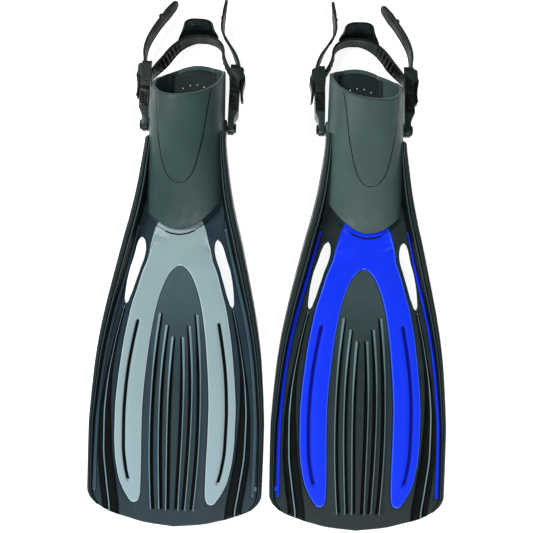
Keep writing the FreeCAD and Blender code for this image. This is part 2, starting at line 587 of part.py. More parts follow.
def strap_line():
    """Centre line of the strap: (x, a, b, roll, half width). Roll leans the
    upper edge away from the loop, degrees."""
    cx = shift(PIVOT_Y)
    xi = lambda c: cx + PIVOT_HALF + c      # inner side of the pair
    xo = lambda c: cx - PIVOT_HALF - c      # outer side
    hw = STRAP_W / 2.0
    ci = BAR_C - (BAR_R + 0.3 + STRAP_T / 2.0)      # heel layer
    co = BAR_C + (BAR_R + 0.3 + STRAP_T / 2.0)      # tail layer
    r = BAR_R + 0.3 + STRAP_T / 2.0
    # outer tail, from its tip to the buckle
    outer_tail = catmull([(-24.5, 168.0, 13.0, 4, 5.5), (-28.3, 161.5, 12.6, 4, 8.6), (-36.0, 151.0, 11.5, 4, 11),
                          (-45.5, 137.5, 9.5, 4, 11), (-54.5, 123.0, 7.0, 4, 11), (-60.6, 110.0, 4.0, 3, 11),
                          (-62.8, 98.0, 2.0, 2, 11), (-62.3, 88.0, 0.2, 0, 11), (xo(co), 78.0, 0, 0, 11)], 2)
    fold_o = [(xo(co), BAR_A + 6.0, 0, 0, hw)]
    for i in range(7):
        t = math.radians(90 - 30.0 * i)
        fold_o.append((xo(BAR_C + r * math.sin(t)), BAR_A - r * math.cos(t), 0, 0, hw))
    loop = catmull([(xo(ci), BAR_A + 8.0, 0, 0, hw), (xo(ci), 68.0, 0, 0, hw), (-49.5, 73.0, 0, -6, hw),
                    (-43.0, 81.0, 0, -13, hw), (-35.9, 90.0, 0, -17, hw), (-29.2, 100.2, 0, -16, hw),
                    (-21.3, 109.5, 0, -12, hw), (-12.0, 116.8, 0, -8, hw), (-2.5, 121.0, 0, -3, hw),
                    (4.0, 122.6, 0, 0, hw)], 2)
    span = [(10.0, 122.6, 0, 0, hw)]
    loop2 = catmull([(16.5, 122.6, 0, 0, hw), (23.0, 121.0, 0, 0, hw), (30.0, 117.8, 0, 0, hw), (35.5, 112.5, 0, 0, hw),
                     (38.6, 105.5, 0, 0, hw), (39.8, 96.0, 0, 0, hw), (44.0, 85.0, 0, 0, hw),
                     (xi(ci), 73.0, 0, 0, hw), (xi(ci), BAR_A + 8.0, 0, 0, hw)], 2)
    fold_i = []
    for i in range(7):
        t = math.radians(-90 + 30.0 * i)
        fold_i.append((xi(BAR_C + r * math.sin(t)), BAR_A - r * math.cos(t), 0, 0, hw))
    fold_i.append((xi(co), BAR_A + 6.0, 0, 0, hw))
    inner_tail = catmull([(xi(co), 78.0, 0, 0, 11), (59.3, 86.0, 0.4, 2, 11), (55.0, 97.0, 4.0, 0, 11),
                          (48.7, 107.0, 9.0, -8, 11), (43.4, 115.0, 12.0, -10, 11), (39.0, 121.5, 13.5, -8, 11),
                          (36.7, 130.0, 14.5, -6, 11), (36.8, 137.0, 15.0, -4, 11), (37.6, 150.0, 15.5, 0, 11),
                          (38.6, 162.0, 15.5, 4, 8.6), (39.7, 172.0, 15.5, 6, 5.5)], 2)
    pts = outer_tail + fold_o + loop + span + loop2 + fold_i + inner_tail
    out = [pts[0]]
    for p in pts[1:]:
        if math.dist(p[:3], out[-1][:3]) > 0.35:
            out.append(p)
    return out


def make_strap():
    pts = strap_line()
    n = len(pts)
    rings = []
    for i, (x, a, b, roll, hw) in enumerate(pts):
        p0, p1 = pts[max(i - 1, 0)], pts[min(i + 1, n - 1)]
        tx, ta = p1[0] - p0[0], p1[1] - p0[1]
        L = math.hypot(tx, ta) or 1.0
        tx, ta = tx / L, ta / L
        nx, na = ta, -tx                 # in-plane normal
        cr, sr = math.cos(math.radians(roll)), math.sin(math.radians(roll))
        # width and thickness directions after the roll about the tangent
        wdir = (nx * sr, na * sr, cr)
        tdir = (nx * cr, na * cr, -sr)
        h = STRAP_T / 2.0
        ring = []
        for sw, st in ((-1, -1), (1, -1), (1, 1), (-1, 1)):
            ring.append(tuple(c + sw * hw * w + st * h * t
                              for c, w, t in zip((x, a, b), wdir, tdir)))
        rings.append(ring)
    return strap_place(facet_solid(rings))


def make_pad():
    """Heel pad with a flared finger tab, in the strap frame, then placed."""
    a0 = 122.6 + STRAP_T / 2.0
    pts = [(-12.5, 118.4), (-2.5, 121.6), (4.0, 123.4), (16.5, 123.4), (23.5, 121.8), (22.5, a0 + 3.6), (-11.0, a0 + 3.6)]
    ring0 = [V(x, a, -9.6) for x, a in pts]
    core = Part.Face(Part.makePolygon(ring0 + [ring0[0]])).extrude(V(0, 0, 22.8))
    # tab: rises backwards from the upper edge of the pad
    def ring(t):
        # t 0..4 along the tab
        hwid = [25.5, 21.5, 19.8, 18.5, 11.5][t]
        aa = a0 + [1.0, 3.0, 5.6, 10.6, 15.0][t]
        bb = [11.2, 14.4, 17.0, 20.4, 22.7][t]
        th = [3.4, 3.4, 3.2, 3.0, 2.6][t]
        c = 5.5
        return [(c - hwid, aa, bb), (c + hwid, aa, bb), (c + hwid, aa - th * 0.5, bb + th), (c - hwid, aa - th * 0.5, bb + th)]
    tab = ruled([ring(t) for t in range(5)])
    pad = strap_place(clean(core.fuse(tab)))
    return largest(pad.cut(make_strap()))


# ------------------------------------------------------------------ output
def build_fin():
    nodes = {}
    blade, inlay, strips, channels = make_blade_parts()
    rails = {s: make_rail(s) for s in (-1, 1)}
    pocket, panel, bed = make_pocket()
    front = box(-150, 150, -10, RAIL_SPLIT_Y, -10, 120)
    nodes["foot_pocket"] = largest(pocket)
    nodes["instep_panel"] = panel
    nodes["footbed"] = bed
    for side, name in ((-1, "outer"), (1, "inner")):
        nodes["rail_" + name] = largest(rails[side].common(front).cut(nodes["foot_pocket"]))
    for name in ("rail_outer", "rail_inner"):
        blade = blade.cut(nodes[name])
    blade = largest(blade.cut(nodes["foot_pocket"]))
    nodes["blade"] = blade
    nodes["blade_inlay"] = inlay
    nodes["edge_strips"] = Part.makeCompound([largest(s.cut(nodes["rail_outer"]).cut(nodes["rail_inner"])) for s in strips])
    nodes["flex_channels"] = Part.makeCompound(channels)
    b = make_buckle()
    posts, caps, bars, pins, springs = [], [], [], [], []
    for side, name in ((-1, "outer"), (1, "inner")):
        nodes["receiver_" + name] = place_buckle(b["receiver"], side)
        nodes["clip_" + name] = place_buckle(b["clip"], side)
        nodes["lever_" + name] = place_buckle(b["lever"], side)
        nodes["button_%s_upper" % name] = place_buckle(b["buttons"][0], side)
        nodes["button_%s_lower" % name] = place_buckle(b["buttons"][1], side)
        posts.append(place_buckle(b["post"], side))
        caps.append(place_buckle(b["cap"], side))
        bars.append(place_buckle(b["bar"], side))
        pins.append(place_buckle(b["pin"], side))
        springs.append(place_buckle(b["spring"], side))
    nodes["buckle_posts"] = Part.makeCompound(posts)
    nodes["post_caps"] = Part.makeCompound(caps)
    nodes["strap_bars"] = Part.makeCompound(bars)
    nodes["lever_pins"] = Part.makeCompound(pins)
    nodes["lever_springs"] = Part.makeCompound(springs)
    nodes["heel_strap"] = make_strap()
    nodes["heel_pad"] = make_pad()
    return nodes


def fin_points():
    """Joint points and directions in the fin frame."""
    cx = shift(PIVOT_Y)
    out = {"swing": ((cx, PIVOT_Y, PIVOT_Z), (1, 0, 0))}
    for side, name in ((-1, "outer"), (1, "inner")):
        x = cx + side * (PIVOT_HALF + LEVER_C)
        out["lever_" + name] = (strap_point((x, LEVER_A, 0)), strap_vec((0, 0, 1)))
        xb = cx + side * (PIVOT_HALF + 7.0)
        out["button_%s_upper" % name] = (strap_point((xb, 31, 12)), strap_vec((0, 0, -1)))
        out["button_%s_lower" % name] = (strap_point((xb, 31, -12)), strap_vec((0, 0, 1)))
    return out


def main():
    os.makedirs("parts", exist_ok=True)
    fin = build_fin()
    sets = []
    for prefix, tip, yaw, mirrored in (("left_", LEFT_TIP, LEFT_YAW, False),
                                       ("right_", RIGHT_TIP, RIGHT_YAW, True)):
        pl = FreeCAD.Placement(V(tip[0], tip[1], 0), FreeCAD.Rotation(V(0, 0, 1), yaw))
        for name, shape in fin.items():
            s = shape.copy()
            if mirrored:
                s = s.mirror(V(0, 0, 0), V(1, 0, 0))
            s = s.copy()
            s = s.transformGeometry(FreeCAD.Matrix()) if False else s
            s.transformShape(pl.toMatrix(), True, False)
            sets.append((prefix + name, s))
    bb = None
    for _, s in sets:
        q = s.optimalBoundingBox(False, False) if hasattr(s, "optimalBoundingBox") else s.BoundBox
        if bb is None:
            bb = [q.XMin, q.YMin, q.ZMin, q.XMax, q.YMax, q.ZMax]
        else:
            bb = [min(bb[0], q.XMin), min(bb[1], q.YMin), min(bb[2], q.ZMin),
                  max(bb[3], q.XMax), max(bb[4], q.YMax), max(bb[5], q.ZMax)]
    off = V(-(bb[0] + bb[3]) / 2, -(bb[1] + bb[4]) / 2, -bb[2])
    for name, s in sets:
        s.translate(off)
        s.exportStep("parts/%s.step" % name)
    info = {"bbox": [round(v, 3) for v in bb], "offset": [off.x, off.y, off.z], "points": {}}
    for prefix, tip, yaw, mirrored in (("left_", LEFT_TIP, LEFT_YAW, False),
                                       ("right_", RIGHT_TIP, RIGHT_YAW, True)):
        pl = FreeCAD.Placement(V(tip[0], tip[1], 0), FreeCAD.Rotation(V(0, 0, 1), yaw))
        for k, (p, d) in fin_points().items():
            m = -1 if mirrored else 1
            pp = pl.multVec(V(m * p[0], p[1], p[2])) + off
            dd = pl.Rotation.multVec(V(m * d[0], d[1], d[2]))
            info["points"][prefix + k] = [[pp.x, pp.y, pp.z], [dd.x, dd.y, dd.z]]
    print("INFO " + json.dumps(info))
    for name, s in sets:
        if name.startswith("left_"):
            print("%-28s valid %s solids %d faces %d vol %.0f" % (name, s.isValid(), len(s.Solids), len(s.Faces), s.Volume))


main()
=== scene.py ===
import bpy, bmesh, math, json
import numpy as np
from mathutils import Vector, Matrix


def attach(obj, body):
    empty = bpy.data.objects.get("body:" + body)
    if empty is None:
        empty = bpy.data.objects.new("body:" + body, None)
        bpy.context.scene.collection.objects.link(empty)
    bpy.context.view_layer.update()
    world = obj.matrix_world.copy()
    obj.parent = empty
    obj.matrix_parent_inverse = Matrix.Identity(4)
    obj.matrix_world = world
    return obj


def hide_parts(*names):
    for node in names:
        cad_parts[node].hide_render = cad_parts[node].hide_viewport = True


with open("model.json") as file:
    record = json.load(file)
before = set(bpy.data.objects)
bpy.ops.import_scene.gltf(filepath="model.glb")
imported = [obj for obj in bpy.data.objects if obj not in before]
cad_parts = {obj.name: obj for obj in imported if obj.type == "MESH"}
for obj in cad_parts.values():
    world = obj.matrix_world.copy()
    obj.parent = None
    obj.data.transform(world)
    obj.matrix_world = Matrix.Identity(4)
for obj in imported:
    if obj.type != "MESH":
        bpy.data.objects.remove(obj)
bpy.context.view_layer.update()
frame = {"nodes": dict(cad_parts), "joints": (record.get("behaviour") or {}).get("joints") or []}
JOINTS = {j["name"]: j for j in frame["joints"]}

# ------------------------------------------------------------------ sizes (mm)
BLADE_ANGLE = 5.9
BLADE_LIFT = 2.0
T = 4.6
POCKET_SHIFT = -1.0
PIVOT = (-1.0, 522.0, 40.0)
PIVOT_HALF = 50.0
STRAP_ANGLE = 13.4
STRAP_T = 3.2
BAR_R, BAR_A, BAR_C = 2.6, 58.0, 6.0
LEVER_A, LEVER_C = 72.0, 15.6
TOE_Y, TONGUE_Y = 389.5, 607.0
LEAN, SKEW = 2.5, math.radians(6.84)
WALL, SOLE_T = 4.0, 5.0
CT, ST = math.cos(math.radians(BLADE_ANGLE)), math.sin(math.radians(BLADE_ANGLE))
CA, SA = math.cos(math.radians(STRAP_ANGLE)), math.sin(math.radians(STRAP_ANGLE))

OUTLINE = [(0, 0), (4.5, 39), (9.75, 59), (15, 78), (20, 89), (25, 99), (30.5, 105),
           (36, 110), (41, 112.6), (46, 114.2), (52, 114.4), (104, 114.2), (136, 113.8),
           (165, 112), (196, 109.4), (227, 106.2), (259, 101.4), (290, 95.4),
           (321, 88.4), (352, 81), (383, 73.4), (415, 64.8), (446, 58.2),
           (477, 53.4), (497, 50.8), (508, 50.0), (520, 49.6)]
RAIL_W = [(25, 7.0), (120, 8.0), (200, 9.5), (300, 12.5), (373, 14.0), (430, 13.0), (510, 9.0)]
RAIL_UP = [(25, 1.2), (60, 4.5), (120, 7.5), (200, 10.5), (300, 14.0), (380, 17.0),
           (430, 18.5), (480, 17.0), (510, 12.0)]
RAIL_DOWN = [(25, 4.57), (60, 8.17), (120, 9.5), (200, 11.0), (300, 13.0), (380, 16.0),
             (430, 17.0), (480, 15.0), (510, 10.0)]
STRIP = [(45, 104), (92, 104), (139, 103.2), (186, 99.6), (233, 93.8), (279, 84.9),
         (303, 78.8), (326, 72.6), (373, 60.8), (396, 55.2)]
INLAY_OUT = [(31.5, 50.5), (31.9, 52.6), (33.2, 55.0), (35.5, 57.0), (38.5, 58.9), (46, 63.7), (54, 67.4),
             (62, 70.7), (77, 74.1), (93, 76.7), (124, 78.5), (155, 78.5), (187, 76.6), (218, 73.3), (249, 69.3),
             (280, 63.6), (296, 60.2), (311, 55.6), (327, 51), (335, 48.8),
             (350, 43), (374, 34.5), (382, 31.6), (400, 24.0)]
INLAY_IN = [(31.5, 50.5), (31.9, 48.4), (33.2, 46.2), (35.5, 44.5), (38.5, 43.4), (46, 42.3), (62, 42.1), (93, 42.3),
            (124, 42.9), (155, 42.9), (187, 41.6), (218, 39), (249, 35.8), (280, 31.2), (296, 28), (311, 24),
            (327, 18.0), (335, 13.8), (341, 9.0), (344.5, 4.6), (345.7, 1.8), (346, 0)]
CHANNEL = [(-5, 80.6), (16, 80.3), (58, 85), (104, 90), (149, 90.7), (188, 88.4), (244, 80), (292, 69.5)]
CHANNEL_W = [(-5, 21), (40, 21), (104, 18), (149, 14), (188, 9.5), (230, 5.6), (268, 4.0), (288, 3.2), (292, 0)]
VENT_C = [(292, 69.0), (296, 67.8), (301, 67), (311, 64.7), (322, 62.4), (332, 59.8), (343, 56.8), (353, 53.3),
          (363, 50.7), (374, 49.0), (381, 48.2)]
VENT_W = [(294.6, 0), (295.2, 2.2), (296.4, 4.0), (299, 5.7), (303, 7.0), (311, 9.3), (322, 11.2), (332, 12.6), (343, 13.4), (353, 13.7),
          (363, 13.2), (370, 11.6), (375, 9.0), (378, 6.2), (379.6, 3.2), (380.2, 0)]
RIBS = [[(22, 5.4), (60, 5.6), (130, 7.4), (180, 7.2), (230, 5.2), (257, 4.2)],
        [(22, 14.5), (60, 15.5), (130, 18.5), (180, 18.2), (240, 14.6), (272, 12.2)],
        [(22, 25.5), (60, 27), (130, 30), (180, 29.5), (240, 25), (287, 21.5)]]
RIB_TOP = [257.0, 272.0, 287.0]
LEG_GROOVE = [(60, 58.0), (78, 62.4), (108, 66), (148, 66.6), (179, 65.4), (210, 62.7), (241, 58.1), (274, 52.0)]
POCKET = [(379.0, 46.0, 30.0, 43.5), (389.0, 50.6, 28.0, 45.5), (402.0, 58.5, 25.6, 47.6),
          (426.0, 69.5, 21.0, 48.5), (460.0, 82.0, 14.5, 48.5), (500.0, 92.5, 7.5, 47.5),
          (540.0, 98.5, 1.6, 46.3), (574.0, 101.0, -0.6, 45.2), (616.0, 103.0, -0.6, 44.0)]
REAR_CUT = [(108.0, 545.0), (97.5, 552.5), (80, 565), (61, 577), (41, 586), (24, 593), (12.5, 600), (7.5, 612), (0, 640)]


# ---------------------------------------------------------------- small helpers
def curve(table):
    """Monotone cubic through a table, as a function of arrays."""
    xs = np.array([p[0] for p in table], float)
    ys = np.array([p[1] for p in table], float)
    h = np.diff(xs)
    d = np.diff(ys) / h
    m = np.zeros(len(xs))
    m[0], m[-1] = d[0], d[-1]
    for i in range(1, len(xs) - 1):
        if d[i - 1] * d[i] > 0:
            m[i] = 2 * d[i - 1] * d[i] / (d[i - 1] + d[i])
    def f(t):
        t = np.clip(np.asarray(t, float), xs[0], xs[-1])
        i = np.clip(np.searchsorted(xs, t, side="right") - 1, 0, len(xs) - 2)
        u = (t - xs[i]) / h[i]
        return ((2 * u**3 - 3 * u**2 + 1) * ys[i] + (u**3 - 2 * u**2 + u) * m[i] * h[i]
                + (-2 * u**3 + 3 * u**2) * ys[i + 1] + (u**3 - u**2) * m[i + 1] * h[i])
    return f


def sstep(a, b, x):
    t = np.clip((np.asarray(x, float) - a) / float(b - a), 0, 1)
    return t * t * (3 - 2 * t)


f_outline, f_rw, f_up, f_dn = curve(OUTLINE), curve(RAIL_W), curve(RAIL_UP), curve(RAIL_DOWN)
f_strip, f_io, f_ii = curve(STRIP), curve(INLAY_OUT), curve(INLAY_IN)
f_ch, f_chw, f_vc, f_vw = curve(CHANNEL), curve(CHANNEL_W), curve(VENT_C), curve(VENT_W)
f_ribs = [curve(t) for t in RIBS]
f_leg = curve(LEG_GROOVE)
f_zt = curve([(p[0], p[1]) for p in POCKET])
f_zb = curve([(p[0], p[2]) for p in POCKET])
f_pa = curve([(p[0], p[3]) for p in POCKET])
f_cut = curve(sorted(REAR_CUT))
TIPX = curve([(x, y) for y, x in OUTLINE[:9]])


def shift(y):
    return POCKET_SHIFT * sstep(325.0, 520.0, y)


def dshift(y):
    """Offset of the inlay, ribs, vents and channels."""
    return -2.5 - 2.0 * sstep(340.0, 396.0, y)


def sshift(y):
    """Offset of the edge strips."""
    return -1.2 - 1.0 * sstep(340.0, 396.0, y)


def toe_arc(x):
    return TOE_Y + 35.0 * ((x + 7.0) / 50.0) ** 2


def rear_line(x, z):
    """Rear edge of the pocket: the sloped opening, turned a little."""
    return 580.0 + (f_cut(z) - 580.0 + math.sin(SKEW) * (x + 1.0)) / math.cos(SKEW)


def tongue(x):
    return TONGUE_Y - 14.0 * ((x - 1.2) / 40.0) ** 2 + 0.12 * (x + 1.0)


def blade_to_fin(x, y, w):
    """(x, distance from tip, height over the plate underside) to the fin frame."""
    return np.stack([x, y * CT - w * ST, BLADE_LIFT + y * ST + w * CT], -1)


def strap_to_fin(p):
    p = np.asarray(p, float)
    x, a, b = p[..., 0], p[..., 1], p[..., 2]
    return np.stack([x, PIVOT[1] + a * CA + b * SA, PIVOT[2] - a * SA + b * CA], -1)


class Fin:
    def __init__(self, side):
        self.side = side
        self.pre = side + "_"
        self.m = 1.0 if side == "left" else -1.0
        j = JOINTS[side + "_strap_swing"]
        ax = j["axis"]
        yaw = math.atan2(ax[1], ax[0])
        self.c, self.s = math.cos(yaw), math.sin(yaw)
        self.pos = np.array(j["pos_m"], float)

    def world(self, p):
        p = np.asarray(p, float)
        x = self.m * (p[..., 0] - PIVOT[0])
        y = p[..., 1] - PIVOT[1]
        z = p[..., 2] - PIVOT[2]
        return np.stack([self.c * x - self.s * y, self.s * x + self.c * y, z], -1) * 0.001 + self.pos


def weld(me, dist=2e-6):
    bm = bmesh.new()
    bm.from_mesh(me)
    bmesh.ops.remove_doubles(bm, verts=bm.verts, dist=dist)
    bmesh.ops.dissolve_degenerate(bm, edges=bm.edges, dist=dist * 0.5)
    loose = [v for v in bm.verts if not v.link_faces]
    bmesh.ops.delete(bm, geom=loose, context="VERTS")
    bmesh.ops.recalc_face_normals(bm, faces=bm.faces)
    bm.to_mesh(me)
    bm.free()


def add_piece(fin, name, verts, faces, body, nodes=(), mats=(), mat_index=None, sharp=None, frame_pts=True):
    """verts in the fin frame (mm), faces as index lists."""
    v = fin.world(verts) if frame_pts else np.asarray(verts, float)
    if fin.m < 0 and frame_pts:
        faces = [tuple(reversed(f)) for f in faces]
    me = bpy.data.meshes.new(fin.pre + name)
    me.from_pydata([tuple(p) for p in v], [], [tuple(int(i) for i in f) for f in faces])
    if mat_index is not None:
        me.polygons.foreach_set("material_index", np.asarray(mat_index, np.int32))
    me.update()
    weld(me)
    return finish_piece(fin, name, me, body, nodes, mats, sharp)


def finish_piece(fin, name, me, body, nodes=(), mats=(), sharp=None):
    for m in mats:
        me.materials.append(m)
    me.shade_smooth()
    if sharp is not None:
        me.set_sharp_from_angle(angle=math.radians(sharp))
    ob = bpy.data.objects.new(fin.pre + name + "_skin", me)
    bpy.context.scene.collection.objects.link(ob)
    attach(ob, body)
    if nodes:
        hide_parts(*nodes)
    return ob


def grid_faces(nr, nc, closed_c=False, closed_r=False, flip=False):
    out = []
    for r in range(nr if closed_r else nr - 1):
        r2 = (r + 1) % nr
        for c in range(nc if closed_c else nc - 1):
            c2 = (c + 1) % nc
            q = (r * nc + c, r * nc + c2, r2 * nc + c2, r2 * nc + c)
            out.append(q[::-1] if flip else q)
    return out


def poly_dist(px, py, poly, closed=True):
    """Distance of points to a polyline."""
    P = np.stack([px.ravel(), py.ravel()], -1)
    A = np.asarray(poly, float)
    B = np.roll(A, -1, 0)
    if not closed:
        A, B = A[:-1], B[:-1]
    best = np.full(len(P), 1e9)
    for a, b in zip(A, B):
        d = b - a
        L = (d * d).sum()
        if L < 1e-12:
            continue
        t = np.clip(((P - a) @ d) / L, 0, 1)
        q = a + t[:, None] * d
        best = np.minimum(best, ((P - q) ** 2).sum(1))
    return np.sqrt(best).reshape(px.shape)


def bake(ob):
    """Applies an object's modifiers and returns the new mesh."""
    dg = bpy.context.evaluated_depsgraph_get()
    me = bpy.data.meshes.new_from_object(ob.evaluated_get(dg))
    return me


# --------------------------------------------------------------------- materials
def new_mat(name, base, rough=0.45, spec=0.5, coat=0.0, coat_rough=0.2, sheen=0.0):
    m = bpy.data.materials.new(name)
    m.use_nodes = True
    nt = m.node_tree
    b = nt.nodes["Principled BSDF"]
    b.inputs["Base Color"].default_value = (*base, 1)
    b.inputs["Roughness"].default_value = rough
    b.inputs["Specular IOR Level"].default_value = spec
    b.inputs["Coat Weight"].default_value = coat
    b.inputs["Coat Roughness"].default_value = coat_rough
    b.inputs["Sheen Weight"].default_value = sheen
    return m, nt, b


def srgb(r, g, b):
    def f(v):
        v = v / 255.0
        return v / 12.92 if v <= 0.04045 else ((v + 0.055) / 1.055) ** 2.4
    return (f(r), f(g), f(b))


def node(nt, kind, **kw):
    n = nt.nodes.new(kind)
    for k, v in kw.items():
        if k in n.inputs:
            n.inputs[k].default_value = v
        else:
            setattr(n, k, v)
    return n


def plastic(name, base, rough=0.42, spec=0.5, var=0.10, grain=900.0, grain_h=0.05, coat=0.0, streak=0.0,
            wear_and_highlight=0.10, rough_var=0.12, coat_rough=0.25, light=None, fade=None):
    """Moulded plastic or rubber: mottled colour, fine grain bump, edges a touch paler (partly wear, partly a painted
    edge highlight).
    """
    m, nt, b = new_mat(name, base, rough, spec, coat, coat_rough)
    L = nt.links.new
    tc = node(nt, "ShaderNodeTexCoord")
    n1 = node(nt, "ShaderNodeTexNoise")
    n1.inputs["Scale"].default_value = 22.0
    n1.inputs["Detail"].default_value = 4.0
    L(tc.outputs["Object"], n1.inputs["Vector"])
    mp = node(nt, "ShaderNodeMapping")
    mp.inputs["Scale"].default_value = (1.0, 0.06, 1.0)
    L(tc.outputs["Object"], mp.inputs["Vector"])
    n2 = node(nt, "ShaderNodeTexNoise")
    n2.inputs["Scale"].default_value = 240.0
    n2.inputs["Detail"].default_value = 3.0
    L(mp.outputs["Vector"], n2.inputs["Vector"])
    r1 = node(nt, "ShaderNodeValToRGB")
    lo = tuple(c * (1 - var) for c in base)
    hi = tuple(min(1, c * (1 + var)) for c in base)
    r1.color_ramp.elements[0].position = 0.32
    r1.color_ramp.elements[0].color = (*lo, 1)
    r1.color_ramp.elements[1].position = 0.68
    r1.color_ramp.elements[1].color = (*hi, 1)
    L(n1.outputs["Fac"], r1.inputs["Fac"])
    mix = node(nt, "ShaderNodeMix", data_type="RGBA", blend_type="MULTIPLY")
    mix.inputs[0].default_value = streak
    L(r1.outputs["Color"], mix.inputs[6])
    r2 = node(nt, "ShaderNodeValToRGB")
    r2.color_ramp.elements[0].color = (0.72, 0.72, 0.72, 1)
    r2.color_ramp.elements[1].color = (1, 1, 1, 1)
    L(n2.outputs["Fac"], r2.inputs["Fac"])
    L(r2.outputs["Color"], mix.inputs[7])
    # paler convex edges from pointiness: partly wear, partly a painted edge highlight
    geo = node(nt, "ShaderNodeNewGeometry")
    r3 = node(nt, "ShaderNodeValToRGB")
    r3.color_ramp.elements[0].position = 0.52
    r3.color_ramp.elements[0].color = (0, 0, 0, 1)
    r3.color_ramp.elements[1].position = 0.62
    r3.color_ramp.elements[1].color = (1, 1, 1, 1)
    L(geo.outputs["Pointiness"], r3.inputs["Fac"])
    wm = node(nt, "ShaderNodeMath", operation="MULTIPLY")
    wm.inputs[1].default_value = wear_and_highlight
    L(r3.outputs["Color"], wm.inputs[0])
    edge = node(nt, "ShaderNodeMix", data_type="RGBA", blend_type="MIX")
    edge.inputs[7].default_value = (*(light or tuple(min(1, c * 2.0 + 0.04) for c in base)), 1)
    L(wm.outputs[0], edge.inputs[0])
    L(mix.outputs[2], edge.inputs[6])
    out = edge.outputs[2]
    if fade:
        # slow change of tone along the fin
        sep = node(nt, "ShaderNodeSeparateXYZ")
        L(tc.outputs["Object"], sep.inputs["Vector"])
        fr_ = node(nt, "ShaderNodeMapRange")
        fr_.inputs["From Min"].default_value = fade[0]
        fr_.inputs["From Max"].default_value = fade[1]
        L(sep.outputs["Y"], fr_.inputs["Value"])
        fm_ = node(nt, "ShaderNodeMix", data_type="RGBA", blend_type="MIX")
        fm_.inputs[7].default_value = (*fade[2], 1)
        L(fr_.outputs["Result"], fm_.inputs[0])
        L(out, fm_.inputs[6])
        out = fm_.outputs[2]
    L(out, b.inputs["Base Color"])
    # roughness
    n3 = node(nt, "ShaderNodeTexNoise")
    n3.inputs["Scale"].default_value = 60.0
    n3.inputs["Detail"].default_value = 5.0
    L(tc.outputs["Object"], n3.inputs["Vector"])
    mr = node(nt, "ShaderNodeMapRange")
    mr.inputs["From Min"].default_value = 0.3
    mr.inputs["From Max"].default_value = 0.7
    mr.inputs["To Min"].default_value = max(0.05, rough - rough_var)
    mr.inputs["To Max"].default_value = min(1.0, rough + rough_var)
    L(n3.outputs["Fac"], mr.inputs["Value"])
    L(mr.outputs["Result"], b.inputs["Roughness"])
    # fine grain
    n4 = node(nt, "ShaderNodeTexNoise")
    n4.inputs["Scale"].default_value = grain
    n4.inputs["Detail"].default_value = 2.0
    L(tc.outputs["Object"], n4.inputs["Vector"])
    bp = node(nt, "ShaderNodeBump")
    bp.inputs["Strength"].default_value = 0.35
    bp.inputs["Distance"].default_value = grain_h * 0.001
    L(n4.outputs["Fac"], bp.inputs["Height"])
    L(bp.outputs["Normal"], b.inputs["Normal"])
    return m


def steel(name):
    m, nt, b = new_mat(name, (0.06, 0.06, 0.065), 0.4, 0.5)
    b.inputs["Metallic"].default_value = 1.0
    L = nt.links.new
    tc = node(nt, "ShaderNodeTexCoord")
    mp = node(nt, "ShaderNodeMapping")
    mp.inputs["Scale"].default_value = (1.0, 1.0, 0.03)
    L(tc.outputs["Object"], mp.inputs["Vector"])
    n = node(nt, "ShaderNodeTexNoise")
    n.inputs["Scale"].default_value = 1500.0
    L(mp.outputs["Vector"], n.inputs["Vector"])
    r = node(nt, "ShaderNodeValToRGB")
    r.color_ramp.elements[0].color = (0.045, 0.047, 0.05, 1)
    r.color_ramp.elements[1].color = (0.085, 0.087, 0.09, 1)
    L(n.outputs["Fac"], r.inputs["Fac"])
    L(r.outputs["Color"], b.inputs["Base Color"])
    mr = node(nt, "ShaderNodeMapRange")
    mr.inputs["To Min"].default_value = 0.18
    mr.inputs["To Max"].default_value = 0.42
    L(n.outputs["Fac"], mr.inputs["Value"])
    L(mr.outputs["Result"], b.inputs["Roughness"])
    bp = node(nt, "ShaderNodeBump")
    bp.inputs["Strength"].default_value = 0.2
    bp.inputs["Distance"].default_value = 0.00002
    L(n.outputs["Fac"], bp.inputs["Height"])
    L(bp.outputs["Normal"], b.inputs["Normal"])
    return m


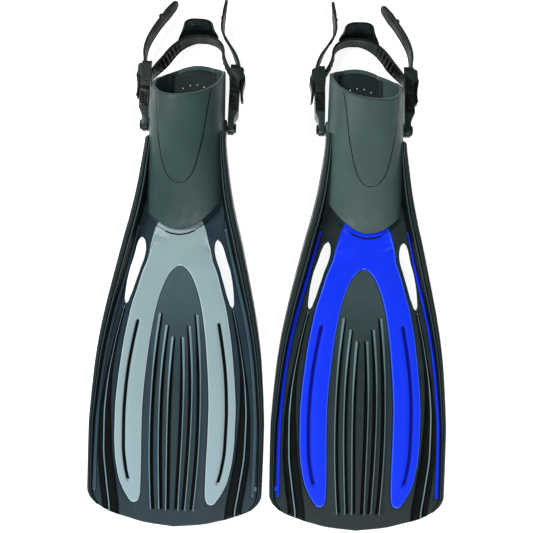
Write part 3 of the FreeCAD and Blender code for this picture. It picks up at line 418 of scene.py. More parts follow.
def tone_set(side, blade, plate, inlay, inlay_low, inlay_highlight, strip, rail, pocket, ridge, rail_top_highlight, rim, rail_inner_shade):
    n = "grey_fin" if side == "left" else "blue_fin"
    blue = side == "right"
    return dict(
        blade=plastic("blade_plastic_" + n, srgb(*blade), 0.50, 0.22, 0.10, streak=0.3, wear_and_highlight=0.05,
                      fade=(-0.04, -0.12, srgb(44, 61, 69) if side == "left" else srgb(36, 50, 52))),
        plate=plastic("blade_plate_" + n, srgb(*plate), 0.46, 0.24, 0.12, streak=0.3, wear_and_highlight=0.10,
                      fade=(-0.28, -0.335, srgb(44, 61, 69) if side == "left" else srgb(36, 50, 52))),
        # rib ridge faces: a paler copy of the blade colour, a painted highlight
        ridge=plastic("blade_ridge_" + n, srgb(*ridge), 0.42, 0.3, 0.08, streak=0.2, wear_and_highlight=0.3),
        # the inlay's paler edge tone and the lip colour are a painted highlight
        inlay=plastic("inlay_" + n, srgb(*inlay), 0.44, 0.12 if blue else 0.25, 0.07, streak=0.3, wear_and_highlight=0.45,
                      light=srgb(*inlay_highlight), fade=(0.12, -0.28, srgb(*inlay_low))),
        inlay_lip_highlight=plastic("inlay_lip_highlight_" + n, srgb(*inlay_highlight), 0.42, 0.12 if blue else 0.25, 0.06, streak=0.3, wear_and_highlight=0.3),
        strip=plastic("strip_" + n, srgb(*strip), 0.42, 0.12 if blue else 0.25, 0.06, streak=0.2, wear_and_highlight=0.3,
                      light=srgb(*inlay_highlight)),
        rail=plastic("rail_rubber_" + n, srgb(*rail), 0.50, 0.25, 0.12, wear_and_highlight=0.25),
        # rail ridge line: a paler copy of the rail colour, a painted highlight; inner slope: a darker copy, painted
        # shade
        rail_top_highlight=plastic("rail_ridge_" + n, srgb(*rail_top_highlight), 0.46, 0.3, 0.10, wear_and_highlight=0.3),
        rail_inner_shade=plastic("rail_slope_" + n, srgb(*rail_inner_shade), 0.52, 0.2, 0.10, wear_and_highlight=0.1),
        pocket=plastic("pocket_rubber_" + n, srgb(*pocket), 0.50, 0.28, 0.10, grain=1400, grain_h=0.08, wear_and_highlight=0.18),
        # pocket rim: a darker copy of the pocket colour on the rolled rim rows, a painted shade line
        rim=plastic("pocket_rim_painted_shade_" + n, srgb(*rim), 0.50, 0.25, 0.08, grain=1400, grain_h=0.05, wear_and_highlight=0.2),
    )


M = {
    "left": tone_set("left", (66, 88, 93), (30, 50, 61), (141, 163, 165), (155, 180, 187), (184, 204, 208), (58, 82, 94),
                     (26, 40, 43), (50, 72, 72), (122, 150, 158), (52, 74, 78), (38, 56, 56), (8, 13, 15)),
    "right": tone_set("right", (56, 76, 78), (28, 42, 44), (16, 52, 246), (20, 58, 250), (66, 112, 255), (14, 50, 240),
                      (28, 41, 41), (66, 87, 86), (104, 130, 132), (50, 70, 70), (42, 58, 57), (8, 13, 14)),
}
M_FOOTBED = plastic("footbed_foam", srgb(28, 42, 42), 0.62, 0.2, 0.12, grain=1800, grain_h=0.12)
M_CHANNEL = plastic("channel_rubber", srgb(3, 6, 8), 0.5, 0.12, 0.15, wear_and_highlight=0.1)
# pale line on the centre ridge of each flex channel: a painted highlight
M_CH_HIGHLIGHT = plastic("channel_highlight_line", srgb(118, 146, 156), 0.35, 0.4, 0.08, wear_and_highlight=0.2)
# groove colours: near-black and dark blue put in grooves and recesses of the blade, inlay and rails are painted shade
M_GROOVE_SHADE = plastic("groove_painted_shade", srgb(2, 4, 5), 0.6, 0.08, 0.15, wear_and_highlight=0.02)
# thin dark lines along seams and along the toe collar: painted shadow
M_SHADOW_LINE = plastic("seam_shadow", srgb(8, 13, 13), 0.6, 0.12, 0.12)
M_BLUE_GROOVE_SHADE = plastic("blue_groove_painted_shade", srgb(2, 8, 130), 0.5, 0.12, 0.08)
M_BUCKLE = plastic("buckle_acetal", srgb(8, 13, 14), 0.32, 0.24, 0.12, grain=700, grain_h=0.02, coat_rough=0.15,
                   wear_and_highlight=0.15, rough_var=0.08, light=srgb(80, 102, 102))
# paler copy of the buckle colour for the receiver's neck: a painted highlight
M_LIT_NECK = plastic("neck_painted_highlight", srgb(38, 53, 53), 0.34, 0.3, 0.10, grain=700, grain_h=0.02, wear_and_highlight=0.2)
# paler copy of the buckle colour for the inner lever only: painted light, while the outer lever keeps the dark colour
M_LIT_LEVER = plastic("lever_painted_light", srgb(14, 21, 22), 0.34, 0.24, 0.10, grain=700, grain_h=0.02, wear_and_highlight=0.15, light=srgb(80, 102, 102))
M_BUCKLE_DARK = plastic("buckle_dark", srgb(7, 11, 12), 0.32, 0.22, 0.10, grain=700, grain_h=0.02, wear_and_highlight=0.1)
M_STRAP = plastic("strap_rubber", srgb(20, 32, 32), 0.50, 0.16, 0.12, grain=1500, grain_h=0.05, wear_and_highlight=0.25, light=srgb(66, 86, 86))
M_TEETH = plastic("strap_teeth", srgb(4, 6, 6), 0.36, 0.25, 0.12, wear_and_highlight=0.2)
# paler copy of the pad colour on the ridge tops and the tab's edge band: a painted highlight
M_PAD_HIGHLIGHT = plastic("pad_painted_highlight", srgb(42, 60, 60), 0.42, 0.3, 0.10, grain=1500, grain_h=0.04, wear_and_highlight=0.3)
M_PAD = plastic("pad_rubber", srgb(13, 20, 21), 0.48, 0.16, 0.12, grain=1500, grain_h=0.06, wear_and_highlight=0.6, light=srgb(70, 94, 94))
M_STEEL = steel("stainless")


# ------------------------------------------------------------------------ blade
def collar(x, y):
    """Raised band on the blade that follows the toe of the foot pocket."""
    d = toe_arc(x) - y
    return 0.12 * sstep(8.6, 5.6, d)


def row_values():
    ys = list(np.arange(0, 20, 1.25)) + list(np.arange(20, 70, 1.25)) + list(np.arange(70, 240, 2.5)) \
        + list(np.arange(240, 330, 1.25)) + list(np.arange(330, 350, 0.7)) + list(np.arange(350, 401.6, 0.9))
    return np.array(sorted(set(np.round(ys, 3))))


def warp_y(Y, x):
    """Rows follow the tip edge at one end and the toe arc at the other."""
    f1 = np.clip(1 - Y / 62.0, 0, 1)
    g = sstep(318, 392, Y)
    return Y + TIPX(np.clip(np.abs(x), 0, 112.6)) * f1 + (toe_arc(x) - TOE_Y) * g


def rib_axis(k, y):
    """Smooth line of one rib groove."""
    t = np.linspace(24.0, RIB_TOP[k], 24)
    p = np.polyfit(t, f_ribs[k](t), 3)
    return np.polyval(p, np.clip(y, 20.0, RIB_TOP[k] + 4.0))


def rib_dims(k, y):
    top = RIB_TOP[k]
    f = sstep(0, 9, top - y) * sstep(21, 27, y)
    gw = 1.2 + 1.9 * sstep(0, 90, top - y)
    lw = 2.4 - 1.5 * sstep(0, 110, top - y)
    return f, gw, lw


def blade_columns(y, side):
    """x (from the fin axis, unsigned) and height of each column of one half."""
    cols = []
    add = lambda x, h, tag="": cols.append((x, h, tag))
    one = np.ones_like(y)
    ds, ss, os_ = side * dshift(y), side * sshift(y), side * shift(y)
    xi = f_ii(y)
    fi = sstep(30.5, 33.5, y)
    lim = np.where(y > 285, np.maximum(xi - 2.2, 0.02), 60.0)
    add(ds, 0 * one)
    ribx = []
    for k in range(3):
        g = rib_axis(k, y)
        f, gw, lw = rib_dims(k, y)
        D, R = 2.6 * f, 1.9 * f
        tags = ("", "g%d" % k, "g%d" % k, "g%d" % k, "g%d" % k, "r%d" % k, "r%d" % k, "r%d" % k, "")
        for dx, h in ((-gw / 2 - 1.2, 0 * y), (-gw / 2 - 0.1, -D * 0.75), (-gw / 2 + 0.5, -D), (gw / 2 - 0.5, -D),
                      (gw / 2 + 0.2, -D * 0.4), (gw / 2 + 0.7, R * 0.85), (gw / 2 + 1.2, R), (gw / 2 + 1.2 + lw, R * 0.45),
                      (gw / 2 + 2.4 + lw, 0 * y)):
            ribx.append((g + dx, h, tags[len(ribx) % 9]))
    scale = np.minimum(1.0, lim / np.maximum(ribx[-1][0], 1e-6))
    even = sstep(max(RIB_TOP) + 2.0, max(RIB_TOP) + 16.0, y)
    full = ribx[-1][0] * scale
    run = 0 * y
    for j, (x, h, tg) in enumerate(ribx):
        run = np.maximum(run, x * scale * (1 - even) + full * (j + 1) / len(ribx) * even)
        add(run + ds, h, tg)
    last = run + ds
    xi = xi + ds
    a0 = np.maximum(xi - 1.7, last)
    add(last + (a0 - last) * 0.5, 0 * y)
    add(a0, 0 * y)
    add(np.maximum(xi - 0.5, a0), -1.0 * fi)
    xo = f_io(y) + ds
    add(np.minimum(xi + 0.8, (xi + xo) / 2), -1.3 * fi)
    add((xi + xo) / 2, -1.3 * fi)
    add(np.maximum(xo - 0.8, (xi + xo) / 2), -1.3 * fi)
    add(xo + 0.5, -1.0 * fi)
    add(xo + 1.7, 0 * y)
    # flex channel, then the vent, share the next columns
    cc, cw = f_ch(y), f_chw(y)
    vc, vw = f_vc(y), f_vw(y)
    isv = y > 293.3
    c = np.where(isv, vc, cc) + ds
    w = np.where(isv, vw, cw)
    fv = np.where(isv, sstep(293.3, 299, y) * sstep(383, 377, y), 0)
    fc = np.where(isv, 0, sstep(293, 288, y))
    A0 = c - w / 2 - np.where(isv, 3.2, 1.1)
    A1 = c - w / 2 - np.where(isv, 1.3, 0.35)
    A2 = c - w / 2
    B2 = c + w / 2
    B1 = c + w / 2 + np.where(isv, 1.3, 0.35)
    B0 = c + w / 2 + np.where(isv, 3.2, 1.1)
    s = f_strip(y) + ss
    sw = np.where(y < 330, 4.2, 4.2 - (y - 330) * 0.02)
    fs = sstep(43, 47, y)
    # crowd towards the toe: keep the order
    hi = s - sw / 2 - 1.0
    lo = xo + 2.0
    def squeeze(x):
        return np.minimum(np.maximum(x, lo), hi)
    add(squeeze((xo + 1.7 + A0) / 2), 0 * y)
    add(squeeze(A0), 0 * y)
    add(squeeze(A1), 0.75 * fv - 0.6 * fc)
    add(squeeze(A2), -0.3 * fv - 1.6 * fc, "va")
    add(squeeze(B2), -0.3 * fv - 1.6 * fc, "vb")
    add(squeeze(B1), 0.75 * fv - 0.6 * fc)
    add(squeeze(B0), 0 * y)
    add((squeeze(B0) + hi) / 2, 0 * y)
    add(hi + 0.1, 0 * y)
    add(s - sw / 2, -0.9 * fs)
    add(s + sw / 2, -0.9 * fs)
    add(s + sw / 2 + 0.7, -0.1 * fs)
    xl = np.minimum(112.3, f_outline(y) - f_rw(y) + 3.0) + os_
    add(np.maximum(s + sw / 2 + 1.4, np.minimum(s + sw / 2 + 1.4, xl - 1)), -0.2 * fs)
    add(np.maximum(xl, s + sw / 2 + 1.6), -0.6 * fs)
    return cols


def blade_grid():
    """Positions and heights: arrays rows x columns over the whole width."""
    Y = row_values()
    probe = blade_columns(np.array([100.0]), 1)
    n = len(probe)
    tags = [t for _, _, t in probe]
    halves = []
    for side in (-1, 1):
        X = np.zeros((len(Y), n))
        H = np.zeros((len(Y), n))
        YY = np.tile(Y[:, None], (1, n))
        for _ in range(14):
            cols = [blade_columns(YY[:, j], side) for j in range(n)]
            for j in range(n):
                X[:, j] = cols[j][j][0]
                H[:, j] = cols[j][j][1]
            YY = 0.5 * YY + 0.5 * warp_y(Y[:, None], side * X)
        halves.append((side * X, YY, H))
    xl, yl, hl = halves[0]
    xr, yr, hr = halves[1]
    X = np.concatenate([xl[:, ::-1], xr[:, 1:]], 1)
    Yy = np.concatenate([yl[:, ::-1], yr[:, 1:]], 1)
    H = np.concatenate([hl[:, ::-1], hr[:, 1:]], 1)
    tg = tags[::-1] + tags[1:]
    return X, Yy, H, tg


BLADE_GRID = blade_grid()


def make_blade(fin):
    X, Y, H, tags = BLADE_GRID
    nr, nc = X.shape
    Ht = H + collar(X, Y)
    W = T + Ht
    # rounded tip edge
    W[0] = T - 1.3
    top = blade_to_fin(X, Y, W)
    top_in = blade_to_fin(X[0], Y[0] + 0.55, T - 0.35 + 0 * X[0])
    Hb = np.minimum(H, 0) * 0.5 + np.maximum(H, 0) * 0.5
    Wb = 0.25 - Hb * 0.8
    Wb[0] = 1.3
    bot = blade_to_fin(X, Y, Wb)
    bot_in = blade_to_fin(X[0], Y[0] + 0.55, 0.35 + 0 * X[0])
    rows = [top[i] for i in range(nr - 1, 0, -1)] + [top_in, top[0], bot[0], bot_in] + [bot[i] for i in range(1, nr)]
    V = np.concatenate(rows, 0)
    n_rows = len(rows)
    faces, idx = [], []
    va = [j for j, t in enumerate(tags) if t == "va"]
    vb = [j for j, t in enumerate(tags) if t == "vb"]
    gaps = []
    for a in va:
        for b in vb:
            if abs(a - b) == 1:
                gaps.append(min(a, b))
    def row_y(r):
        # which model row a mesh row stands for
        if r < nr - 1:
            return nr - 1 - r
        if r >= nr + 3:
            return r - (nr + 3) + 1
        return 0
    hole = lambda i, j: bool(min(Y[i, j], Y[i, j + 1]) > 294.0 and max(Y[i, j], Y[i, j + 1]) < 381.0
                             and abs(X[i, j + 1] - X[i, j]) > 0.05)
    for r in range(n_rows - 1):
        i0, i1 = row_y(r), row_y(r + 1)
        for c in range(nc - 1):
            if c in gaps and i0 > 0 and i1 > 0 and (hole(i0, c) or hole(i1, c)):
                continue
            faces.append((r * nc + c, r * nc + c + 1, (r + 1) * nc + c + 1, (r + 1) * nc + c))
            # material slots: rib grooves get painted shade, rib ridges a painted highlight, a thin band along the toe
            # arc a painted shadow line; faces beyond the inlay's outer edge take the plate colour
            ta, tb, k = tags[c], tags[c + 1], 0
            if r < nr - 2 and ta and ta == tb and ta[0] in "gr" and 24.0 < Y[i0, c] < RIB_TOP[int(ta[1])] - 3.0:
                k = 1 if ta[0] == "g" else 2
            xm = 0.5 * (X[i0, c] + X[i0, c + 1]) - dshift(Y[i0, c])
            if k == 0 and abs(xm) > f_io(Y[i0, c]) - 0.3:
                k = 4
            if r < nr - 2 and 3.4 < toe_arc(X[i0, c]) - Y[i0, c] < 4.7:
                k = 3
            idx.append(k)
    # vent walls
    for g in gaps:
        for r in range(n_rows - 1):
            i0, i1 = row_y(r), row_y(r + 1)
            if r < nr - 2 and (hole(i0, g) or hole(i1, g)):
                rb0, rb1 = nr + 3 + i0 - 1, nr + 3 + i1 - 1
                for c, fl in ((g, False), (g + 1, True)):
                    q = (r * nc + c, (r + 1) * nc + c, rb1 * nc + c, rb0 * nc + c)
                    faces.append(q[::-1] if fl else q)
                    idx.append(0)
    # side walls under the rails and the rear edge under the pocket
    for c in (0, nc - 1):
        for r in range(nr - 2):
            i0, i1 = row_y(r), row_y(r + 1)
            rb0, rb1 = nr + 3 + i0 - 1, nr + 3 + i1 - 1
            faces.append((r * nc + c, (r + 1) * nc + c, rb1 * nc + c, rb0 * nc + c))
            idx.append(0)
        r = nr - 2
        q = [(nr - 2) * nc + c, (nr - 1) * nc + c, nr * nc + c, (nr + 1) * nc + c, (nr + 2) * nc + c, (nr + 3) * nc + c]
        faces.append(tuple(q))
        idx.append(0)
    for c in range(nc - 1):
        faces.append((c, c + 1, (n_rows - 1) * nc + c + 1, (n_rows - 1) * nc + c))
        idx.append(0)
    return add_piece(fin, "blade", V, faces, fin.side + "_fin", [fin.pre + "blade"],
                     [M[fin.side]["blade"], M_GROOVE_SHADE, M[fin.side]["ridge"], M_SHADOW_LINE, M[fin.side]["plate"]], idx, sharp=38)


def close_sheet(V, faces, base, mats=None):
    """Closes an open sheet downwards onto base vertices (same count)."""
    n = len(V)
    edges = {}
    for f in faces:
        for a, b in zip(f, f[1:] + f[:1]):
            if (b, a) in edges:
                edges[(b, a)] = None
            elif (a, b) not in edges:
                edges[(a, b)] = True
    out = list(faces) + [tuple(reversed([i + n for i in f])) for f in faces]
    side = []
    for (a, b), v in edges.items():
        if v and a != b:
            side.append((a, a + n, b + n, b))
    return np.concatenate([V, base], 0), out, side


def make_inlay(fin):
    ys = np.array(sorted(set(np.round(list(31.5 + np.array([0, .08, .3, .8, 1.6, 2.8, 4.4])) + list(np.arange(37.5, 60, 1.4))
                  + list(np.arange(60, 240, 2.5)) + list(np.arange(240, 330, 1.5)) + list(np.arange(330, 343, 0.7))
                  + list(np.arange(343, 347, 0.3)) + list(np.arange(347, 396.1, 1.0)), 3))))
    # outline for the edge rounding
    oy = np.concatenate([np.linspace(31.5, 36, 14), np.arange(37, 396, 2.0)])
    iy = np.concatenate([np.linspace(31.5, 36, 14), np.arange(37, 340, 2.0), np.linspace(340, 346, 24)])
    fr = [0, 0.05, 0.16, 0.40, 0.8, 1.4, 2.3]
    polys = []
    V, F, I = [], [], []
    nv = 0
    for side in (-1, 1):
        outl = [(side * float(f_io(y)), y) for y in oy]
        inl = [(side * float(f_ii(y)), y) for y in iy]
        xi, xo = f_ii(ys), f_io(ys)
        g = f_leg(ys)
        fg = sstep(58, 62.5, ys) * sstep(276, 271.5, ys)
        gw = 4.2 * np.sqrt(np.clip(fg, 0, 1))
        wid = xo - xi
        cols = []
        for d in fr:
            cols.append((xi + np.minimum(d, wid * 0.03 * (1 + 6 * d)), 0))
        def between(t):
            return None
        ga, gb = g - gw / 2, g + gw / 2
        c0 = cols[-1][0]
        end = xo - np.minimum(2.3, wid * 0.03 * (1 + 6 * 2.3))
        ga = np.clip(ga, c0 + 0.05 * (end - c0), end)
        gb = np.clip(gb, c0, end - 0.05 * (end - c0))
        gb = np.maximum(gb, ga)
        for t in (0.33, 0.66):
            cols.append((c0 + (ga - 0.7 - c0) * t, 0))
        for dx, k in ((-0.7, 0), (-0.15, 0.35), (0.1, 1), (0.7, 2)):
            cols.append((ga + dx * np.minimum(1, fg + 0.02), k))
        for dx, k in ((-0.7, 2), (-0.1, 1), (0.15, 0.35), (0.7, 0)):
            cols.append((gb + dx * np.minimum(1, fg + 0.02), k))
        for t in (0.33, 0.66):
            cols.append((gb + 0.7 + (end - gb - 0.7) * t, 0))
        for d in reversed(fr):
            cols.append((xo - np.minimum(d, wid * 0.03 * (1 + 6 * d)), 0))
        X = np.stack([c[0] for c in cols], 1)
        X = np.maximum.accumulate(X, 1)
        X = np.minimum(X, xo[:, None])
        K = np.array([c[1] for c in cols])
        Yr = np.tile(ys[:, None], (1, X.shape[1]))
        # rows bend to the toe arc near the pocket
        for _ in range(10):
            xs = side * X + dshift(Yr)
            Yr = 0.5 * Yr + 0.5 * (ys[:, None] + (toe_arc(xs) - TOE_Y) * sstep(350, 392, ys[:, None]))
        d = np.minimum(poly_dist(X, Yr, [(side * p[0], p[1]) for p in outl], closed=False),
                       poly_dist(X, Yr, [(side * p[0], p[1]) for p in inl], closed=False))
        prof = curve([(0, -1.3), (0.05, -0.3), (0.16, 0.15), (0.4, 0.5), (0.8, 0.72), (1.4, 0.86), (2.4, 0.98),
                      (6, 1.12), (14, 1.25), (60, 1.3)])
        H = prof(d)
        depth = np.array([0.0 if k == 0 else (0.5 if k == 0.35 else (1.8 if k == 1 else 2.1)) for k in K])
        H = H - depth[None, :] * sstep(0, 0.6, fg)[:, None]
        H = H + collar(side * X + dshift(Yr), Yr)
        top = blade_to_fin(side * X + dshift(Yr), Yr, T + H)
        base = blade_to_fin(side * X + dshift(Yr), Yr, T - 1.7 + 0 * H)
        nr, nc = X.shape
        f, idx = [], []
        for r in range(nr - 1):
            for c in range(nc - 1):
                q = (r * nc + c, r * nc + c + 1, (r + 1) * nc + c + 1, (r + 1) * nc + c)
                f.append(q if side > 0 else q[::-1])
                # material slots: the leg groove gets painted shade, a thin band along the toe arc a painted shadow
                # line, and a narrow band along the inlay's edge the lip colour, a painted highlight
                inside = K[c] >= 1 and K[c + 1] >= 1
                xm = side * X[r, c] + dshift(Yr[r, c])
                line_ = 3.4 < toe_arc(xm) - Yr[r, c] < 4.7
                lip = 0.35 < d[r, c] < 1.9 and 0.35 < d[r, c + 1] < 1.9
                idx.append(1 if inside and 60.5 < ys[r] < 273.5 else (2 if line_ else (3 if lip else 0)))
        v, allf, sd = close_sheet(top.reshape(-1, 3), f, base.reshape(-1, 3))
        # the two halves meet on the axis above the arch: no wall there
        def on_axis(q):
            return all(abs(v[i][0] - dshift(v[i][1])) < 0.02 and v[i][1] > 344 for i in q)
        sd = [q for q in sd if not on_axis(q)]
        V.append(v)
        F += [tuple(i + nv for i in q) for q in allf + sd]
        I += idx + [0] * len(idx) + [0] * len(sd)
        nv += len(v)
    groove = M_GROOVE_SHADE if fin.side == "left" else M_BLUE_GROOVE_SHADE
    return add_piece(fin, "blade_inlay", np.concatenate(V, 0), F, fin.side + "_fin",
                     [fin.pre + "blade_inlay"], [M[fin.side]["inlay"], groove, M_SHADOW_LINE, M[fin.side]["inlay_lip_highlight"]], I, sharp=50)


def ribbon_piece(ys, cols, side):
    """Closed bar from column functions: returns verts, faces (one half)."""
    X = np.stack([c[0] for c in cols], 1)
    H = np.stack([c[1] + 0 * ys for c in cols], 1)
    Yr = np.tile(ys[:, None], (1, X.shape[1]))
    top = blade_to_fin(side * X + sshift(Yr), Yr, T + H)
    base = blade_to_fin(side * X + sshift(Yr), Yr, T - 1.8 + 0 * H)
    nr, nc = X.shape
    f = []
    for r in range(nr - 1):
        for c in range(nc - 1):
            q = (r * nc + c, r * nc + c + 1, (r + 1) * nc + c + 1, (r + 1) * nc + c)
            f.append(q if side > 0 else q[::-1])
    v, allf, sd = close_sheet(top.reshape(-1, 3), f, base.reshape(-1, 3))
    return v, allf + sd, len(f), nc


def make_strips(fin):
    V, F, nv = [], [], 0
    for side in (-1, 1):
        ys = np.concatenate([[45.0, 45.3, 46.0, 47.2], np.arange(49, 396, 2.0)])
        s = f_strip(ys)
        sw = np.where(ys < 330, 4.2, 4.2 - (ys - 330) * 0.02)
        endf = np.sqrt(np.clip((ys - 44.9) / 2.2, 0.02, 1))
        hw = sw / 2 * endf
        hh = 0.35 + 0.4 * endf
        cols = [(s - hw, -1.2 + 0 * ys), (s - hw + 0.06, hh - 0.5), (s - hw + 0.35, hh - 0.15), (s - hw * 0.5, hh),
                (s, hh + 0.08), (s + hw * 0.5, hh), (s + hw - 0.35, hh - 0.15), (s + hw - 0.06, hh - 0.5), (s + hw, -1.2 + 0 * ys)]
        v, f, _, _ = ribbon_piece(ys, cols, side)
        V.append(v); F += [tuple(i + nv for i in q) for q in f]; nv += len(v)
        # small lug across to the rail
        ly = np.array([53.2, 53.5, 54.2, 56.5, 58.6, 59.1, 59.3])
        e = np.array([0.0, 0.75, 1, 1, 1, 0.75, 0.0])
        x0, x1 = 105.2, 109.2
        cols = [(x0 + 0 * ly, -0.9 + 1.25 * e), (x1 - 0.8 + 0 * ly, -0.9 + 1.25 * e), (x1 - 0.2 + 0 * ly, -0.9 + 1.0 * e), (x1 + 0 * ly, -0.9 + 0 * e)]
        v, f, _, _ = ribbon_piece(ly, cols, side)
        V.append(v); F += [tuple(i + nv for i in q) for q in f]; nv += len(v)
    return add_piece(fin, "edge_strips", np.concatenate(V, 0), F, fin.side + "_fin",
                     [fin.pre + "edge_strips"], [M[fin.side]["strip"]], sharp=50)


def make_channels(fin):
    V, F, I, nv = [], [], [], 0
    for side in (-1, 1):
        Ys = np.concatenate([np.array([0.3, 1.0, 2.2]), np.arange(4, 260, 2.5), np.arange(260, 291, 1.5), [291.0]])
        cols = None
        y = Ys.copy()
        def build(y):
            c, w = f_ch(y), np.maximum(f_chw(y), 0.5)
            fe = sstep(291.5, 285, y)
            o = c + w / 2            # outer edge
            i = c - w / 2
            # the light line's faces get a pale colour: a painted highlight along the centre ridge
            rc = c + w * 0.10        # light line, nearer the outer edge
            rw = np.clip(w * 0.11, 0.5, 1.35)
            wide = sstep(4.0, 9.0, w)
            return [(i + 0.05, -1.55 + 0 * y, 0), (i + 0.12, -0.75 + 0 * y, 0), (i + np.minimum(0.6, w * .1), -0.55 - 0.5 * wide, 0),
                    (i + (rc - rw - 0.5 - i) * 0.3, -1.0 - 0.55 * wide, 0), (i + (rc - rw - 0.5 - i) * 0.8, -1.0 - 0.6 * wide, 0),
                    (rc - rw - 0.35, -0.9 - 0.45 * wide, 0),
                    (rc - rw * 0.6, -0.15 * fe - 0.3, 1), (rc, 0.05 * fe - 0.25, 1), (rc + rw * 0.6, -0.15 * fe - 0.3, 1),
                    (rc + rw + 0.35, -0.9 - 0.45 * wide, 0), (o + (rc + rw + 0.5 - o) * 0.6, -1.0 - 0.55 * wide, 0),
                    (o - np.minimum(0.6, w * .1), -0.55 - 0.5 * wide, 0), (o - 0.12, -0.75 + 0 * y, 0), (o - 0.05, -1.55 + 0 * y, 0)]
        n = len(build(Ys))
        X = np.zeros((len(Ys), n)); H = np.zeros((len(Ys), n)); YY = np.tile(Ys[:, None], (1, n))
        for _ in range(12):
            for j in range(n):
                bj = build(YY[:, j])[j]
                X[:, j], H[:, j] = bj[0], bj[1]
            f1 = np.clip(1 - Ys[:, None] / 62.0, 0, 1)
            YY = 0.5 * YY + 0.5 * (Ys[:, None] + TIPX(np.clip(X, 0, 112.6)) * f1)
        tags = [b[2] for b in build(Ys)]
        X = np.maximum.accumulate(X, 1)
        # the front end rounds over with the tip edge
        fall = sstep(2.5, 0.0, Ys)[:, None]
        Hh = H - 0.9 * fall
        top = blade_to_fin(side * X + dshift(YY), YY, T + Hh)
        base = blade_to_fin(side * X + dshift(YY), YY, T - 2.3 + 0 * Hh)
        nr, nc = X.shape
        f, idx = [], []
        for r in range(nr - 1):
            for c in range(nc - 1):
                q = (r * nc + c, r * nc + c + 1, (r + 1) * nc + c + 1, (r + 1) * nc + c)
                f.append(q if side > 0 else q[::-1])
                idx.append(1 if tags[c] and tags[c + 1] else 0)
        v, allf, sd = close_sheet(top.reshape(-1, 3), f, base.reshape(-1, 3))
        V.append(v)
        F += [tuple(i + nv for i in q) for q in allf + sd]
        I += idx + [0] * len(idx) + [0] * len(sd)
        nv += len(v)
    return add_piece(fin, "flex_channels", np.concatenate(V, 0), F, fin.side + "_fin",
                     [fin.pre + "flex_channels"], [M_CHANNEL, M_CH_HIGHLIGHT], I, sharp=45)


# ------------------------------------------------------------------------ rails
def rail_section(y, grow=0.0):
    """Offsets inward from the outer edge and heights, for an array of y."""
    rw, up, dn = f_rw(y), f_up(y), -f_dn(y)
    low = y <= 60
    dn = np.where(low, -(BLADE_LIFT + y * ST) / CT + 0.05, dn)
    hgt = up
    k = np.clip(hgt / 6.0, 0.15, 1.0)
    g = grow
    P = [(rw * 0.30, dn - g * 0), (0.9 + 0 * y, dn), (0.25 + 0 * y, dn + 0.5), (0 * y, dn + 1.6),
         (0 * y, T + hgt - 3.6 * k), (0.25 + 0 * y, T + hgt - 2.2 * k), (0.9 + 0 * y, T + hgt - 1.0 * k), (2.0 + 0 * y, T + hgt - 0.3 * k),
         (rw * 0.30, T + hgt), (rw * 0.40, T + hgt - 0.1 * k), (rw * 0.455, T + hgt - 0.35 * k), (rw * 0.48, T + hgt - 1.2 * k),
         (rw * 0.52, T + hgt - 1.6 * k), (rw * 0.56, T + hgt - 1.2 * k), (rw * 0.585, T + hgt - 0.7 * k), (rw * 0.63, T + hgt - 0.55 * k),
         (rw * 0.68, T + hgt - 0.9 * k), (rw * 0.72, T + hgt - 1.9 * k),
         (rw * 0.78, T + hgt * 0.62), (rw * 0.87, T + hgt * 0.28), (rw * 0.97, T + 0.5 * k), (rw + 0.6, T - 0.35),
         (rw + 0.6, T - 1.4), (rw * 0.97, 0.2 + 0 * y), (rw * 0.93, dn * 0.5), (rw * 0.88, dn + 1.2), (rw * 0.80, dn + 0.3), (rw * 0.70, dn)]
    U = np.stack([p[0] + 0 * y for p in P], 1)
    Wd = np.stack([p[1] + 0 * y for p in P], 1)
    if g:
        cu = U.mean(1, keepdims=True)
        cw = Wd.mean(1, keepdims=True)
        du, dw = U - cu, Wd - cw
        L = np.sqrt(du**2 + dw**2)
        U = U + du / L * g
        Wd = Wd + dw / L * g
    return U, Wd


def rail_index(n_faces, nc=28):
    """Groove with painted shade, light ridge line (a painted highlight) and dark inner slope (painted shade) of a rail.
    """
    out = []
    for i in range(n_faces):
        c = i % nc
        out.append(2 if 10 <= c <= 12 else (1 if 13 <= c <= 15 else (3 if 17 <= c <= 21 else 0)))
    out[-2:] = [0, 0]
    return out


